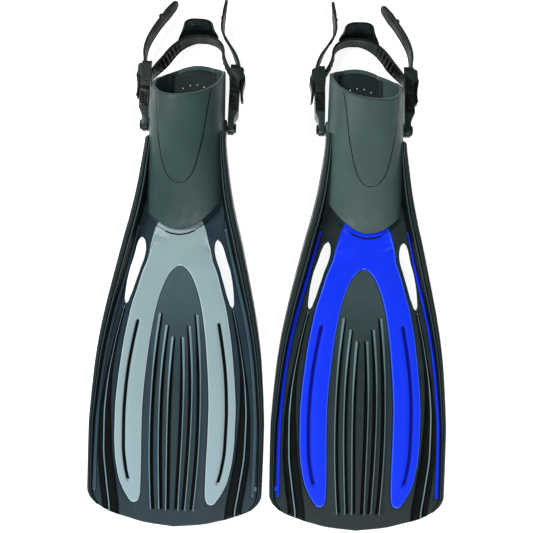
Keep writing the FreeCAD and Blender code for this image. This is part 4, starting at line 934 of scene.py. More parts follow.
def rail_mesh(y0, y1, side, grow=0.0, round_front=False, round_rear=False):
    ys = list(np.arange(y0, y1, 3.0)) + [y1]
    if y0 < 50:
        ys = list(np.arange(y0, 50, 1.2)) + list(np.arange(50, y1, 3.0)) + [y1]
    ys = np.array(sorted(set(ys)))
    U, W = rail_section(ys, grow)
    Y = np.tile(ys[:, None], (1, U.shape[1]))
    xo = f_outline(ys)[:, None]
    # keep the wrapped corner tidy near the tip
    X = xo - U
    if y0 < 50:
        near = sstep(46, 24, ys)[:, None]
        X = xo - U * (1 - 0.45 * near)
        Y = Y + near * 0.0
    def caps(rows_x, rows_y, rows_w, n, sign, span):
        """Rounded end: rows that shrink to the section's centre."""
        cx, cw = rows_x.mean(), rows_w.mean()
        out = []
        for k in range(1, n + 1):
            t = math.pi / 2 * k / n
            r = math.cos(t) if k < n else 0.02
            out.append((cx + (rows_x - cx) * r, rows_y + sign * span * math.sin(t), cw + (rows_w - cw) * r))
        return out
    RX, RY, RW = list(X), list(Y), list(W)
    if round_rear:
        for a, b, c in caps(X[-1], Y[-1], W[-1], 7, 1, 5.0):
            RX.append(a); RY.append(b); RW.append(c)
    else:
        a, b, c = caps(X[-1], Y[-1], W[-1], 2, 1, 0.01)[-1]
        RX.append(a); RY.append(b); RW.append(c)
    if round_front:
        for a, b, c in caps(X[0], Y[0], W[0], 5, -1, 3.0):
            RX.insert(0, a); RY.insert(0, b); RW.insert(0, c)
    else:
        a, b, c = caps(X[0], Y[0], W[0], 2, -1, 0.01)[-1]
        RX.insert(0, a); RY.insert(0, b); RW.insert(0, c)
    X, Y, W = np.array(RX), np.array(RY), np.array(RW)
    P = blade_to_fin(side * X + shift(Y), Y, W)
    nr, nc = X.shape
    f = grid_faces(nr, nc, closed_c=True, flip=(side > 0))
    f.append(tuple(range(nc)) if side > 0 else tuple(reversed(range(nc))))
    f.append(tuple(reversed(range((nr - 1) * nc, nr * nc))) if side > 0 else tuple(range((nr - 1) * nc, nr * nc)))
    return P.reshape(-1, 3), f


def make_rails(fin):
    out = []
    for side, nm in ((-1, "outer"), (1, "inner")):
        P, f = rail_mesh(27.0, 408.6, side)
        out.append(add_piece(fin, "rail_" + nm, P, f, fin.side + "_fin",
                             [fin.pre + "rail_" + nm], [M[fin.side]["rail"], M[fin.side]["rail_top_highlight"], M_GROOVE_SHADE, M[fin.side]["rail_inner_shade"]],
                             rail_index(len(f)), sharp=42))
    return out


# ----------------------------------------------------------------------- pocket
K60 = math.sin(math.radians(60)) ** (2 / 2.4)


def pocket_xz(y, u, inset=0.0, sole=0.0):
    """Section of the foot pocket. u in 0..1 goes round it: 0..0.8 over the
    sides and the top from the right, 0.8..1 back along the flat underside."""
    y, u = np.broadcast_arrays(np.asarray(y, float), np.asarray(u, float))
    zt, zb, a = f_zt(y) - inset, f_zb(y) + sole, f_pa(y) - inset
    h = (zt - zb) / (1 + K60)
    zc = zt - h
    ph = np.radians(-60 + 300 * np.clip(u / 0.8, 0, 1))
    c, s = np.cos(ph), np.sin(ph)
    x = a * np.sign(c) * np.abs(c) ** (2 / 2.4)
    z = zc + h * np.sign(s) * np.abs(s) ** (2 / 2.4)
    flat = u > 0.8
    x_end = a * 0.5 ** (2 / 2.4)
    t = np.clip((u - 0.8) / 0.2, 0, 1)
    x = np.where(flat, -x_end + 2 * x_end * t, x)
    z = np.where(flat, zb, z)
    fl = sstep(420.0, 550.0, y)
    lean = LEAN * fl * (1 - 2 * (z - zb) / (zt - zb))
    return x + shift(y) + lean, np.maximum(z, 0.02)


def rear_limit(u, inset, sole):
    y = np.full(u.shape, 570.0)
    for _ in range(40):
        x, z = pocket_xz(y, u, inset, sole)
        t = np.minimum(rear_line(x, z), tongue(x))
        y = 0.6 * y + 0.4 * t
    return y


def toe_limit(u, inset, sole):
    y = np.full(u.shape, 400.0)
    for _ in range(40):
        x, z = pocket_xz(y, u, inset, sole)
        y = 0.6 * y + 0.4 * toe_arc(x)
    return y


def make_pocket(fin):
    n_arc, n_flat = 100, 24
    u = np.concatenate([np.linspace(0, 0.8, n_arc, endpoint=False), np.linspace(0.8, 1.0, n_flat, endpoint=False)])
    nu = len(u)
    y0, y1 = toe_limit(u, 0, 0), rear_limit(u, 0, 0)
    rows = []
    # lower the front edge of the toe cap onto the blade
    x, z = pocket_xz(y0, u)
    zm = BLADE_LIFT + y0 * ST + 2.0
    for k in (0.0, 0.5, 0.85):
        rows.append(np.stack([x, y0 + 0.6, zm + (z - zm) * max(k, 0.004)], -1))
    rows.append(np.stack([x, y0 + 0.05, zm + (z - zm) * 0.94], -1))
    NV = 76
    for i in range(NV):
        t = i / (NV - 1.0)
        t = t ** 1.15
        y = y0 + 0.35 + (y1 - 0.9 - y0 - 0.35) * t
        x, z = pocket_xz(y, u)
        if i == 0:
            zz = zm + (z - zm) * 0.985
            rows.append(np.stack([x, y, zz], -1))
            continue
        rows.append(np.stack([x, y, z], -1))
    # rolled rim
    xo, zo = pocket_xz(y1, u)
    y1i = rear_limit(u, WALL, SOLE_T)
    xi, zi = pocket_xz(y1i, u, WALL, SOLE_T)
    A = np.stack([xo, y1, zo], -1)
    B = np.stack([xi, y1i, zi], -1)
    nrm = np.stack([0 * u, 0 * u + 0.75, 0 * u + 0.25], -1)
    for t, lift in ((0.04, 0.15), (0.18, 0.75), (0.5, 1.05), (0.82, 0.75), (0.96, 0.15)):
        rows.append(A + (B - A) * t + nrm * lift)
    NI = 44
    yi0 = np.maximum(toe_limit(u, WALL, SOLE_T), 410.0) + 10
    for i in range(NI):
        t = i / (NI - 1.0)
        y = y1i - 0.8 + (yi0 - (y1i - 0.8)) * t
        x, z = pocket_xz(y, u, WALL, SOLE_T)
        rows.append(np.stack([x, y, z], -1))
    last = rows[-1]
    c = last.mean(0)
    for k, dy in ((0.8, -4.0), (0.45, -7.0), (0.02, -8.0)):
        q = c + (last - c) * k
        q[:, 1] = last[:, 1] * k + c[1] * (1 - k) + dy
        rows.append(q)
    V = np.concatenate(rows, 0)
    f = grid_faces(len(rows), nu, closed_c=True, flip=True)
    rim0 = 4 + NV - 1
    # the rolled rim rows get the rim colour: a painted shade line
    I = [1 if rim0 + 1 <= (i // nu) <= rim0 + 2 else 0 for i in range(len(f))]
    f.append(tuple(range((len(rows) - 1) * nu, len(rows) * nu)))
    f.append(tuple(reversed(range(nu))))
    I += [0, 0]
    ob = add_piece(fin, "foot_pocket", V, f, fin.side + "_fin", [fin.pre + "foot_pocket"],
                   [M[fin.side]["pocket"], M[fin.side]["rim"], M_GROOVE_SHADE, M[fin.side]["rail"], M[fin.side]["rail_top_highlight"], M[fin.side]["rail_inner_shade"]], I, sharp=48)
    boolean(ob, [cylinder_obj(fin, h, 1.2, -6, 40) for h in HOLES])
    parts, f, I, n = [], [], [], 0
    remap = {0: 3, 1: 4, 2: 2, 3: 5}
    for side in (-1, 1):
        P, rf = rail_mesh(407.0, 514.0 if side > 0 else 504.5, side, grow=0.4, round_rear=True)
        f += [tuple(i + n for i in q) for q in rf]
        I += [remap[k] for k in rail_index(len(rf))]
        n += len(P)
        parts.append(P)
    # bosses round the strap posts
    for side in (-1, 1):
        x0 = PIVOT[0] + side * (PIVOT_HALF - 8.5)
        x1 = PIVOT[0] + side * (PIVOT_HALF - 0.35)
        prof = [(x0, 11.4), (x1 - side * 2.6, 10.9), (x1 - side * 0.9, 10.3), (x1 - side * 0.25, 9.6), (x1, 8.6), (x1, 4.05)]
        N = 48
        ring = []
        for px, pr in prof:
            ring.append(np.array([(px, PIVOT[1] + pr * math.cos(2 * math.pi * k / N), PIVOT[2] + pr * math.sin(2 * math.pi * k / N)) for k in range(N)]))
        P = np.concatenate(ring, 0)
        rf = grid_faces(len(prof), N, closed_c=True, flip=(side < 0))
        f += [tuple(i + n for i in q) for q in rf]
        I += [0] * len(rf)
        n += len(P)
        parts.append(P)
    v = fin.world(np.concatenate(parts, 0))
    if fin.m < 0:
        f = [tuple(reversed(q)) for q in f]
    me = bpy.data.meshes.new("extra")
    me.from_pydata([tuple(q) for q in v], [], [tuple(int(i) for i in q) for q in f])
    me.polygons.foreach_set("material_index", np.asarray(I, np.int32))
    me.update()
    weld(me)
    bm = bmesh.new()
    bm.from_mesh(ob.data)
    bm.from_mesh(me)
    bm.to_mesh(ob.data)
    bm.free()
    bpy.data.meshes.remove(me)
    ob.data.shade_smooth()
    ob.data.set_sharp_from_angle(angle=math.radians(48))
    return ob


def make_panel(fin):
    """Instep panel: a thin raised skin inside a U-shaped seam."""
    def half(y):
        return curve([(446.1, 0), (446.8, 4.2), (449.1, 9.0), (453.6, 13.6), (461.6, 18.4), (471.6, 21.8), (491.6, 26.2), (521.6, 31.5), (546.6, 35.0), (600, 38)])(y)
    def mid(y):
        return curve([(444, -5.9), (470, -5.9), (500, -5.4), (545, -4.3), (600, -4.0)])(y)
    NV, NU = 96, 90
    rows, base, seam = [], [], []
    for i in range(NV):
        t = i / (NV - 1.0)
        yy = 446.1 + (t ** 1.5) * 110.4
        s = np.linspace(-1, 1, NU)
        s = np.sign(s) * (1 - (1 - np.abs(s)) ** 1.35)
        x = mid(yy) + half(yy) * s
        y = np.full(NU, yy)
        # height of the outer surface at x: search the section angle
        def surf(x, y):
            lo, hi = np.full(x.shape, 0.12), np.full(x.shape, 0.68)
            for _ in range(34):
                m = (lo + hi) / 2
                xx, zz = pocket_xz(y, m)
                right = xx > x
                lo = np.where(right, m, lo)
                hi = np.where(right, hi, m)
            return pocket_xz(y, (lo + hi) / 2)[1]
        # rear rows follow the opening edge
        z = surf(x, y)
        tt = sstep(500, 556.5, yy)
        ylim = y.copy()
        for _ in range(20):
            z = surf(x, ylim)
            ylim = 0.5 * ylim + 0.5 * ((1 - tt) * y + tt * (rear_line(x, z) - 1.3))
        y = ylim
        z = surf(x, y)
        edge = np.minimum(1 - np.abs(s), 1.0) * np.maximum(half(yy), 0.01)
        d = np.minimum(edge, (yy - 446.1) * 1.0 + 0 * edge)
        lift = curve([(0, -0.7), (0.12, 0.06), (1.35, 0.07), (1.7, 0.38), (2.4, 0.5), (4, 0.52), (60, 0.52)])(d)
        seam.append(d < 1.5)
        rear = curve([(0, 0.1), (1.5, 0.95), (4, 1.0), (200, 1.0)])(np.maximum(rear_line(x, z) - y, 0))
        eps = 0.6
        nx = -(surf(x + eps, y) - surf(x - eps, y)) / (2 * eps)
        ny = -(surf(x, y + eps) - surf(x, y - eps)) / (2 * eps)
        nz = np.ones_like(nx)
        L = np.sqrt(nx**2 + ny**2 + nz**2)
        N = np.stack([nx / L, ny / L, nz / L], -1)
        P = np.stack([x, y, z], -1)
        rows.append(P + N * (lift * rear)[:, None])
        base.append(P - N * 0.9)
    V, Bs = np.concatenate(rows, 0), np.concatenate(base, 0)
    f = grid_faces(NV, NU)
    v, allf, sd = close_sheet(V, f, Bs)
    # faces along the seam and the panel's side walls get the seam shadow colour: a painted shadow line
    dark = [1 if (seam[r][c] and seam[r + 1][c + 1]) else 0 for r in range(NV - 1) for c in range(NU - 1)]
    idx = dark + [0] * len(dark) + [1] * len(sd)
    return add_piece(fin, "instep_panel", v, allf + sd, fin.side + "_fin",
                     [fin.pre + "instep_panel"], [M[fin.side]["pocket"], M_SHADOW_LINE], idx, sharp=60)


HOLES = [(-13.35, 577.5), (-4.1, 581.7), (5.3, 582.7), (14.3, 580.3)]


def cylinder_obj(fin, centre, r, z0, z1, n=24):
    P = []
    for z in (z0, z1):
        P += [(centre[0] + r * math.cos(2 * math.pi * k / n), centre[1] + r * math.sin(2 * math.pi * k / n), z) for k in range(n)]
    f = [tuple(reversed(range(n))), tuple(range(n, 2 * n))] + [(k, (k + 1) % n, n + (k + 1) % n, n + k) for k in range(n)]
    v = fin.world(np.array(P))
    if fin.m < 0:
        f = [tuple(reversed(q)) for q in f]
    me = bpy.data.meshes.new("cut")
    me.from_pydata([tuple(p) for p in v], [], f)
    ob = bpy.data.objects.new("cut", me)
    bpy.context.scene.collection.objects.link(ob)
    return ob


def boolean(ob, cutters, op="DIFFERENCE"):
    for c in cutters:
        md = ob.modifiers.new("b", "BOOLEAN")
        md.operation = op
        md.solver = "EXACT"
        md.object = c
    bpy.context.view_layer.update()
    me = bake(ob)
    ob.modifiers.clear()
    old = ob.data
    ob.data = me
    bpy.data.meshes.remove(old)
    for c in cutters:
        m = c.data
        bpy.data.objects.remove(c)
        bpy.data.meshes.remove(m)
    return ob


def make_footbed(fin):
    NV, NS = 110, 61
    s = np.linspace(-1, 1, NS)
    s = np.sign(s) * (1 - (1 - np.abs(s)) ** 1.25)
    top, base = [], []
    for i in range(NV):
        t = i / (NV - 1.0)
        y = np.full(NS, 421.0) + t * 100
        for _ in range(25):
            hw = np.minimum(30.0, 0.72 * (f_pa(y) - WALL))
            c = shift(y) + LEAN * sstep(420, 550, y)
            x = c + hw * s
            lim = tongue(x) - 5.0
            y = 0.5 * y + 0.5 * (421.0 + t * (lim - 421.0))
        # height of the cavity's underside at x
        zb, a, zt = f_zb(y) + SOLE_T, f_pa(y) - WALL, f_zt(y) - WALL
        h = (zt - zb) / (1 + K60)
        cc = np.clip(np.abs(x - c) / a, 0, 0.999) ** (2.4 / 2)
        wall = zt - h - h * np.sqrt(np.clip(1 - cc ** 2, 0, 1)) ** (2 / 2.4)
        ground = np.maximum(zb, wall)
        back = sstep(0, 5.0, (lim - y) + 0.4)
        z = np.maximum(zb + 0.25 + 2.3 * back, ground + 0.35) + 0.10 * np.sin(y * 1.2) * (np.abs(s) < 0.7)
        top.append(np.stack([x, y, z], -1))
        base.append(np.stack([x, y, ground - 0.7], -1))
    f = grid_faces(NV, NS)
    v, allf, sd = close_sheet(np.concatenate(top, 0), f, np.concatenate(base, 0))
    ob = add_piece(fin, "footbed", v, allf + sd, fin.side + "_fin", [fin.pre + "footbed"], [M_FOOTBED], sharp=60)
    boolean(ob, [cylinder_obj(fin, h, 1.2, -6, 40) for h in HOLES])
    return ob


# ---------------------------------------------------------------------- buckles
class Buckle:
    """Buckle frame (c outward, a along the strap, b up) on one side of a fin."""
    def __init__(self, fin, side):
        self.fin, self.side = fin, side

    def world(self, cab):
        cab = np.asarray(cab, float)
        p = np.stack([PIVOT[0] + self.side * (PIVOT_HALF + cab[..., 0]), cab[..., 1], cab[..., 2]], -1)
        return self.fin.world(strap_to_fin(p))

    def local(self, p):
        """World point to (c, a, b) in millimetres."""
        o = self.world((0.0, 0.0, 0.0))
        d = np.array(p) - o
        return [float(d @ ((self.world(e) - o) * 1000.0)) * 1000.0 for e in ((1.0, 0, 0), (0, 1.0, 0), (0, 0, 1.0))]

    def prism(self, poly, c0, c1, axis="c"):
        """Prism of a polygon: axis c uses (a, b), axis b uses (c, a), axis a uses (c, b)."""
        n = len(poly)
        P = []
        for v in (c0, c1):
            for p, q in poly:
                P.append({"c": (v, p, q), "b": (p, q, v), "a": (p, v, q)}[axis])
        f = [tuple(reversed(range(n))), tuple(range(n, 2 * n))] + [(k, (k + 1) % n, n + (k + 1) % n, n + k) for k in range(n)]
        return self.obj(P, f)

    def obj(self, P, f):
        v = self.world(np.array(P, float))
        me = bpy.data.meshes.new("tmp")
        me.from_pydata([tuple(p) for p in v], [], f)
        bm = bmesh.new()
        bm.from_mesh(me)
        bmesh.ops.recalc_face_normals(bm, faces=bm.faces)
        bm.to_mesh(me)
        bm.free()
        ob = bpy.data.objects.new("tmp", me)
        bpy.context.scene.collection.objects.link(ob)
        return ob

    def box(self, c0, c1, a0, a1, b0, b1):
        return self.prism([(a0, b0), (a1, b0), (a1, b1), (a0, b1)], c0, c1)

    def cyl(self, c, a, b, r, h0, h1, axis="c", n=40):
        pts = [(r * math.cos(2 * math.pi * k / n), r * math.sin(2 * math.pi * k / n)) for k in range(n)]
        if axis == "c":
            return self.prism([(a + p, b + q) for p, q in pts], h0, h1)
        return self.prism([(c + p, a + q) for p, q in pts], h0, h1, "b")


def round_poly(poly, r, n=5):
    """Rounds the corners of a polygon; r is a number or one per corner."""
    out = []
    m = len(poly)
    rs = r if hasattr(r, "__len__") else [r] * m
    for i in range(m):
        p0, p1, p2 = (np.array(poly[(i + k) % m], float) for k in (-1, 0, 1))
        d0, d1 = p0 - p1, p2 - p1
        l0, l1 = np.linalg.norm(d0), np.linalg.norm(d1)
        q = min(rs[i], l0 * 0.45, l1 * 0.45)
        if q < 0.05:
            out.append(tuple(p1))
            continue
        a, b = p1 + d0 / l0 * q, p1 + d1 / l1 * q
        for k in range(n + 1):
            t = k / float(n)
            out.append(tuple((1 - t) ** 2 * a + 2 * t * (1 - t) * p1 + t * t * b))
    return out


def bevelled(ob, width, segments=3, angle=32):
    md = ob.modifiers.new("bev", "BEVEL")
    md.width = width * 0.001
    md.segments = segments
    md.limit_method = "ANGLE"
    md.angle_limit = math.radians(angle)
    md.harden_normals = False
    md.use_clamp_overlap = True
    bpy.context.view_layer.update()
    me = bake(ob)
    ob.modifiers.clear()
    old = ob.data
    ob.data = me
    bpy.data.meshes.remove(old)
    return ob


def finish_buckle(fin, ob, name, body, nodes, mats, sharp=35, pick=None):
    me = ob.data.copy()
    me.materials.clear()
    bpy.data.objects.remove(ob)
    if pick:
        for p in me.polygons:
            p.material_index = pick(p.center)
    return finish_piece(fin, name, me, body, nodes, mats, sharp)


def make_buckle(fin, side, nm):
    B = Buckle(fin, side)
    strap = fin.side + "_strap_assembly"
    # receiver
    prof = [(-8.0, -4.5), (-8.0, 4.5), (-3.5, 8.8), (6.0, 9.3), (17.0, 12.6), (22.0, 13.9),
            (44.0, 14.5), (46.9, 13.6), (46.9, -13.6), (44.0, -14.5), (22.0, -13.9),
            (17.0, -12.6), (6.0, -9.3), (-3.5, -8.8)]
    prof = round_poly(prof, [3.5, 3.5, 3, 3, 4, 3, 2, 1, 1, 2, 3, 4, 3, 3], 4)
    body = B.prism(prof, 0.6, 13.3)
    cuts = [
        # thin neck with a sloped shoulder up to the mouth
        B.prism([(8.7, -20), (8.7, 9.0), (9.6, 12.5), (13.4, 19.0), (25, 19.0), (25, -20)], -30, 30, "b"),
        B.box(2.6, 11.4, 19.0, 60.0, -11.4, 11.4),
        B.box(3.3, 10.7, 23.7, 38.3, -30, 30),
        B.cyl(0, 0, 0, 4.06, -5, 40),
        # sunk panel on the outer face
        B.prism(round_poly([(23, -7.5), (43, -8.5), (43, 8.5), (23, 7.5)], 2.5), 12.7, 20),
    ]
    boolean(body, cuts)
    bevelled(body, 0.55, 3)
    # neck faces that look outward or up get a lighter colour: a painted highlight
    finish_buckle(fin, body, "receiver_" + nm, strap, [fin.pre + "receiver_" + nm], [M_BUCKLE, M_LIT_NECK],
                  pick=lambda q: 1 if (lambda l: l[1] < 19.5 and (l[0] > 8.0 or l[2] > 5.0))(B.local(q)) else 0)
    # clip frame
    fr = B.prism(round_poly([(47.1, -13.9), (47.1, 13.9), (79.0, 13.9), (83.8, 11.8), (83.8, -11.8), (79.0, -13.9)], [1, 1, 2, 2, 2, 2]), 0.6, 13.3)
    ears = B.prism([(13.0, 60.0), (17.0, 63.5), (18.1, 67.0), (18.1, 75.5), (16.8, 78.3), (13.0, 79.5)], -13.9, 13.9, "b")
    boolean(fr, [ears], "UNION")
    cuts = [B.box(-5, 30, 51.0, 100, -11.4, 11.4),
            # grip notches on the front bar
            B.prism(round_poly([(48.2, -9), (50.0, -9), (50.0, 9), (48.2, 9)], 0.5), 12.6, 20)]
    for k in range(4):
        a = 53.4 + k * 2.6
        cuts.append(B.box(3.2, 10.6, a, a + 1.1, 13.25, 20))
        cuts.append(B.box(3.2, 10.6, a, a + 1.1, -20, -13.25))
    boolean(fr, cuts)
    tongue = [B.prism(round_poly([(21.2, -3.4), (24, -4.5), (47.2, -4.5), (47.2, 4.5), (24, 4.5), (21.2, 3.4)], 1.2), 3.5, 10.5),
              B.box(3.1, 10.9, 41.0, 47.4, -10.9, 10.9)]
    boolean(fr, tongue, "UNION")
    bevelled(fr, 0.5, 2)
    finish_buckle(fin, fr, "clip_" + nm, strap, [fin.pre + "clip_" + nm], [M_BUCKLE])
    # lever
    arm = [(14.0, 70.0), (14.0, 73.4), (15.8, 75.2), (18.0, 74.0), (19.6, 70.5), (20.3, 65.5), (19.6, 60.0), (18.2, 52.5), (17.7, 45.5),
           (18.3, 40.5), (19.2, 37.8), (18.2, 36.6), (16.2, 37.3), (14.9, 41.0), (14.3, 46.0), (14.0, 55.0), (14.0, 61.0), (12.75, 64.2), (13.3, 66.2)]
    lev = B.prism(round_poly(arm, 1.2, 3), -9.1, 9.1, "b")
    cuts = [B.cyl(LEVER_C, LEVER_A, 0, 1.66, -20, 20, axis="b", n=24),
            B.box(8, 25, 66.0, 80, 7.0, 12),
            B.box(8, 25, 30, 41.5, 7.2, 12), B.box(8, 25, 30, 41.5, -12, -7.2)]
    for k in range(4):
        a = 40.2 + k * 2.7
        cuts.append(B.prism([(17.35 + k * 0.02, a - 0.6), (25, a - 1.2), (25, a + 1.2), (17.35 + k * 0.02, a + 0.6)], -6.4, 6.4, "b"))
    cuts.append(B.prism([(19.0, 56.0), (25, 56.0), (25, 66.0), (19.6, 66.0)], -3.2, 3.2, "b"))
    boolean(lev, cuts)
    bevelled(lev, 0.45, 2)
    # both levers are the same part: the inner one gets a lighter copy of the colour and the outer one the dark buckle
    # colour, painted light and shade
    finish_buckle(fin, lev, "lever_" + nm, "%s_lever_%s" % (fin.side, nm), [fin.pre + "lever_" + nm],
                  [M_LIT_LEVER if nm == "inner" else M_BUCKLE_DARK])
    # release buttons
    for s, word in ((1, "upper"), (-1, "lower")):
        b0, b1 = sorted((s * 9.5, s * 15.3))
        pad = B.prism(round_poly([(24.1, b0), (37.9, b0), (37.9, b1), (24.1, b1)], 0.4, 2), 3.7, 10.3)
        g0, g1 = sorted((s * 9.4, s * 11.0))
        boolean(pad, [B.box(3.0, 11.0, 22.0, 40.0, g0, g1)], "UNION")
        cuts = []
        for k in range(4):
            a = 27.0 + k * 2.7
            h0, h1 = sorted((s * 14.75, s * 20))
            cuts.append(B.box(4.6, 9.4, a - 0.45, a + 0.45, h0, h1))
        boolean(pad, cuts)
        bevelled(pad, 0.5, 3)
        finish_buckle(fin, pad, "button_%s_%s" % (nm, word), "%s_button_%s_%s" % (fin.side, nm, word),
                      [fin.pre + "button_%s_%s" % (nm, word)], [M_BUCKLE])


def make_caps(fin):
    """Post caps: low domed buttons with a sunk centre, both sides in one piece."""
    V, F, n = [], [], 0
    N = 40
    for side in (-1, 1):
        B = Buckle(fin, side)
        prof = [(9.25, 4.0), (9.25, 6.2), (9.6, 6.5), (10.6, 6.45), (11.2, 6.1), (11.55, 5.2), (11.6, 4.2), (11.45, 3.3), (11.0, 2.9), (10.9, 0.02)]
        P = []
        for c, r in prof:
            for k in range(N):
                t = 2 * math.pi * k / N
                P.append((PIVOT[0] + side * (PIVOT_HALF + c), r * math.cos(t), r * math.sin(t)))
        P = strap_to_fin(np.array(P))
        V.append(P)
        F += [tuple(i + n for i in q) for q in grid_faces(len(prof), N, closed_c=True, flip=(side < 0))]
        n += len(P)
    return add_piece(fin, "post_caps", np.concatenate(V, 0), F, fin.side + "_fin", [fin.pre + "post_caps"], [M_BUCKLE_DARK], sharp=40)


# ------------------------------------------------------------------------ strap
def catmull(pts, n):
    out = []
    m = len(pts)
    for i in range(m - 1):
        p0 = pts[max(i - 1, 0)]
        p1, p2 = pts[i], pts[i + 1]
        p3 = pts[min(i + 2, m - 1)]
        for k in range(n):
            t = k / float(n)
            out.append(tuple(0.5 * ((2 * b) + (-a + c) * t + (2 * a - 5 * b + 4 * c - d) * t * t
                                    + (-a + 3 * b - 3 * c + d) * t**3)
                             for a, b, c, d in zip(p0, p1, p2, p3)))
    out.append(tuple(float(v) for v in pts[-1]))
    return out


def strap_line(n=10):
    cx = PIVOT[0]
    xi = lambda c: cx + PIVOT_HALF + c
    xo = lambda c: cx - PIVOT_HALF - c
    hw = 11.0
    r = BAR_R + 0.3 + STRAP_T / 2.0
    ci, co = BAR_C - r, BAR_C + r
    outer_tail = catmull([(-24.5, 168.0, 13.0, 4, 5.5), (-28.3, 161.5, 12.6, 4, 8.6), (-36.0, 151.0, 11.5, 4, 11),
                          (-45.5, 137.5, 9.5, 4, 11), (-54.5, 123.0, 7.0, 4, 11), (-60.6, 110.0, 4.0, 3, 11),
                          (-62.8, 98.0, 2.0, 2, 11), (-62.3, 88.0, 0.2, 0, 11), (xo(co), 78.0, 0, 0, 11)], n)
    fold_o = [(xo(co), BAR_A + 6.0, 0, 0, hw)]
    for i in range(13):
        t = math.radians(90 - 15.0 * i)
        fold_o.append((xo(BAR_C + r * math.sin(t)), BAR_A - r * math.cos(t), 0, 0, hw))
    loop = catmull([(xo(ci), BAR_A + 8.0, 0, 0, hw), (xo(ci), 68.0, 0, 0, hw), (-49.5, 73.0, 0, -6, hw),
                    (-43.0, 81.0, 0, -13, hw), (-35.9, 90.0, 0, -17, hw), (-29.2, 100.2, 0, -16, hw),
                    (-21.3, 109.5, 0, -12, hw), (-12.0, 116.8, 0, -8, hw), (-2.5, 121.0, 0, -3, hw),
                    (4.0, 122.6, 0, 0, hw)], n)
    span = [(10.0, 122.6, 0, 0, hw)]
    loop2 = catmull([(16.5, 122.6, 0, 0, hw), (23.0, 121.0, 0, 0, hw), (30.0, 117.8, 0, 0, hw), (35.5, 112.5, 0, 0, hw),
                     (38.6, 105.5, 0, 0, hw), (39.8, 96.0, 0, 0, hw), (44.0, 85.0, 0, 0, hw),
                     (xi(ci), 73.0, 0, 0, hw), (xi(ci), BAR_A + 8.0, 0, 0, hw)], n)
    fold_i = []
    for i in range(13):
        t = math.radians(-90 + 15.0 * i)
        fold_i.append((xi(BAR_C + r * math.sin(t)), BAR_A - r * math.cos(t), 0, 0, hw))
    fold_i.append((xi(co), BAR_A + 6.0, 0, 0, hw))
    inner_tail = catmull([(xi(co), 78.0, 0, 0, 11), (59.3, 86.0, 0.4, 2, 11), (55.0, 97.0, 4.0, 0, 11),
                          (48.7, 107.0, 9.0, -8, 11), (43.4, 115.0, 12.0, -10, 11), (39.0, 121.5, 13.5, -8, 11),
                          (36.7, 130.0, 14.5, -6, 11), (36.8, 137.0, 15.0, -4, 11), (37.6, 150.0, 15.5, 0, 11),
                          (38.6, 162.0, 15.5, 4, 8.6), (39.7, 172.0, 15.5, 6, 5.5)], n)
    pts = outer_tail + fold_o + loop + span + loop2 + fold_i + inner_tail
    out = [pts[0]]
    for p in pts[1:]:
        if math.dist(p[:3], out[-1][:3]) > 0.05:
            out.append(p)
    return np.array(out, float)


def resample(P, step):
    d = np.sqrt((np.diff(P[:, :3], axis=0) ** 2).sum(1))
    s = np.concatenate([[0], np.cumsum(d)])
    n = int(s[-1] / step) + 1
    t = np.linspace(0, s[-1], n)
    return t, np.stack([np.interp(t, s, P[:, k]) for k in range(P.shape[1])], 1), s[-1]


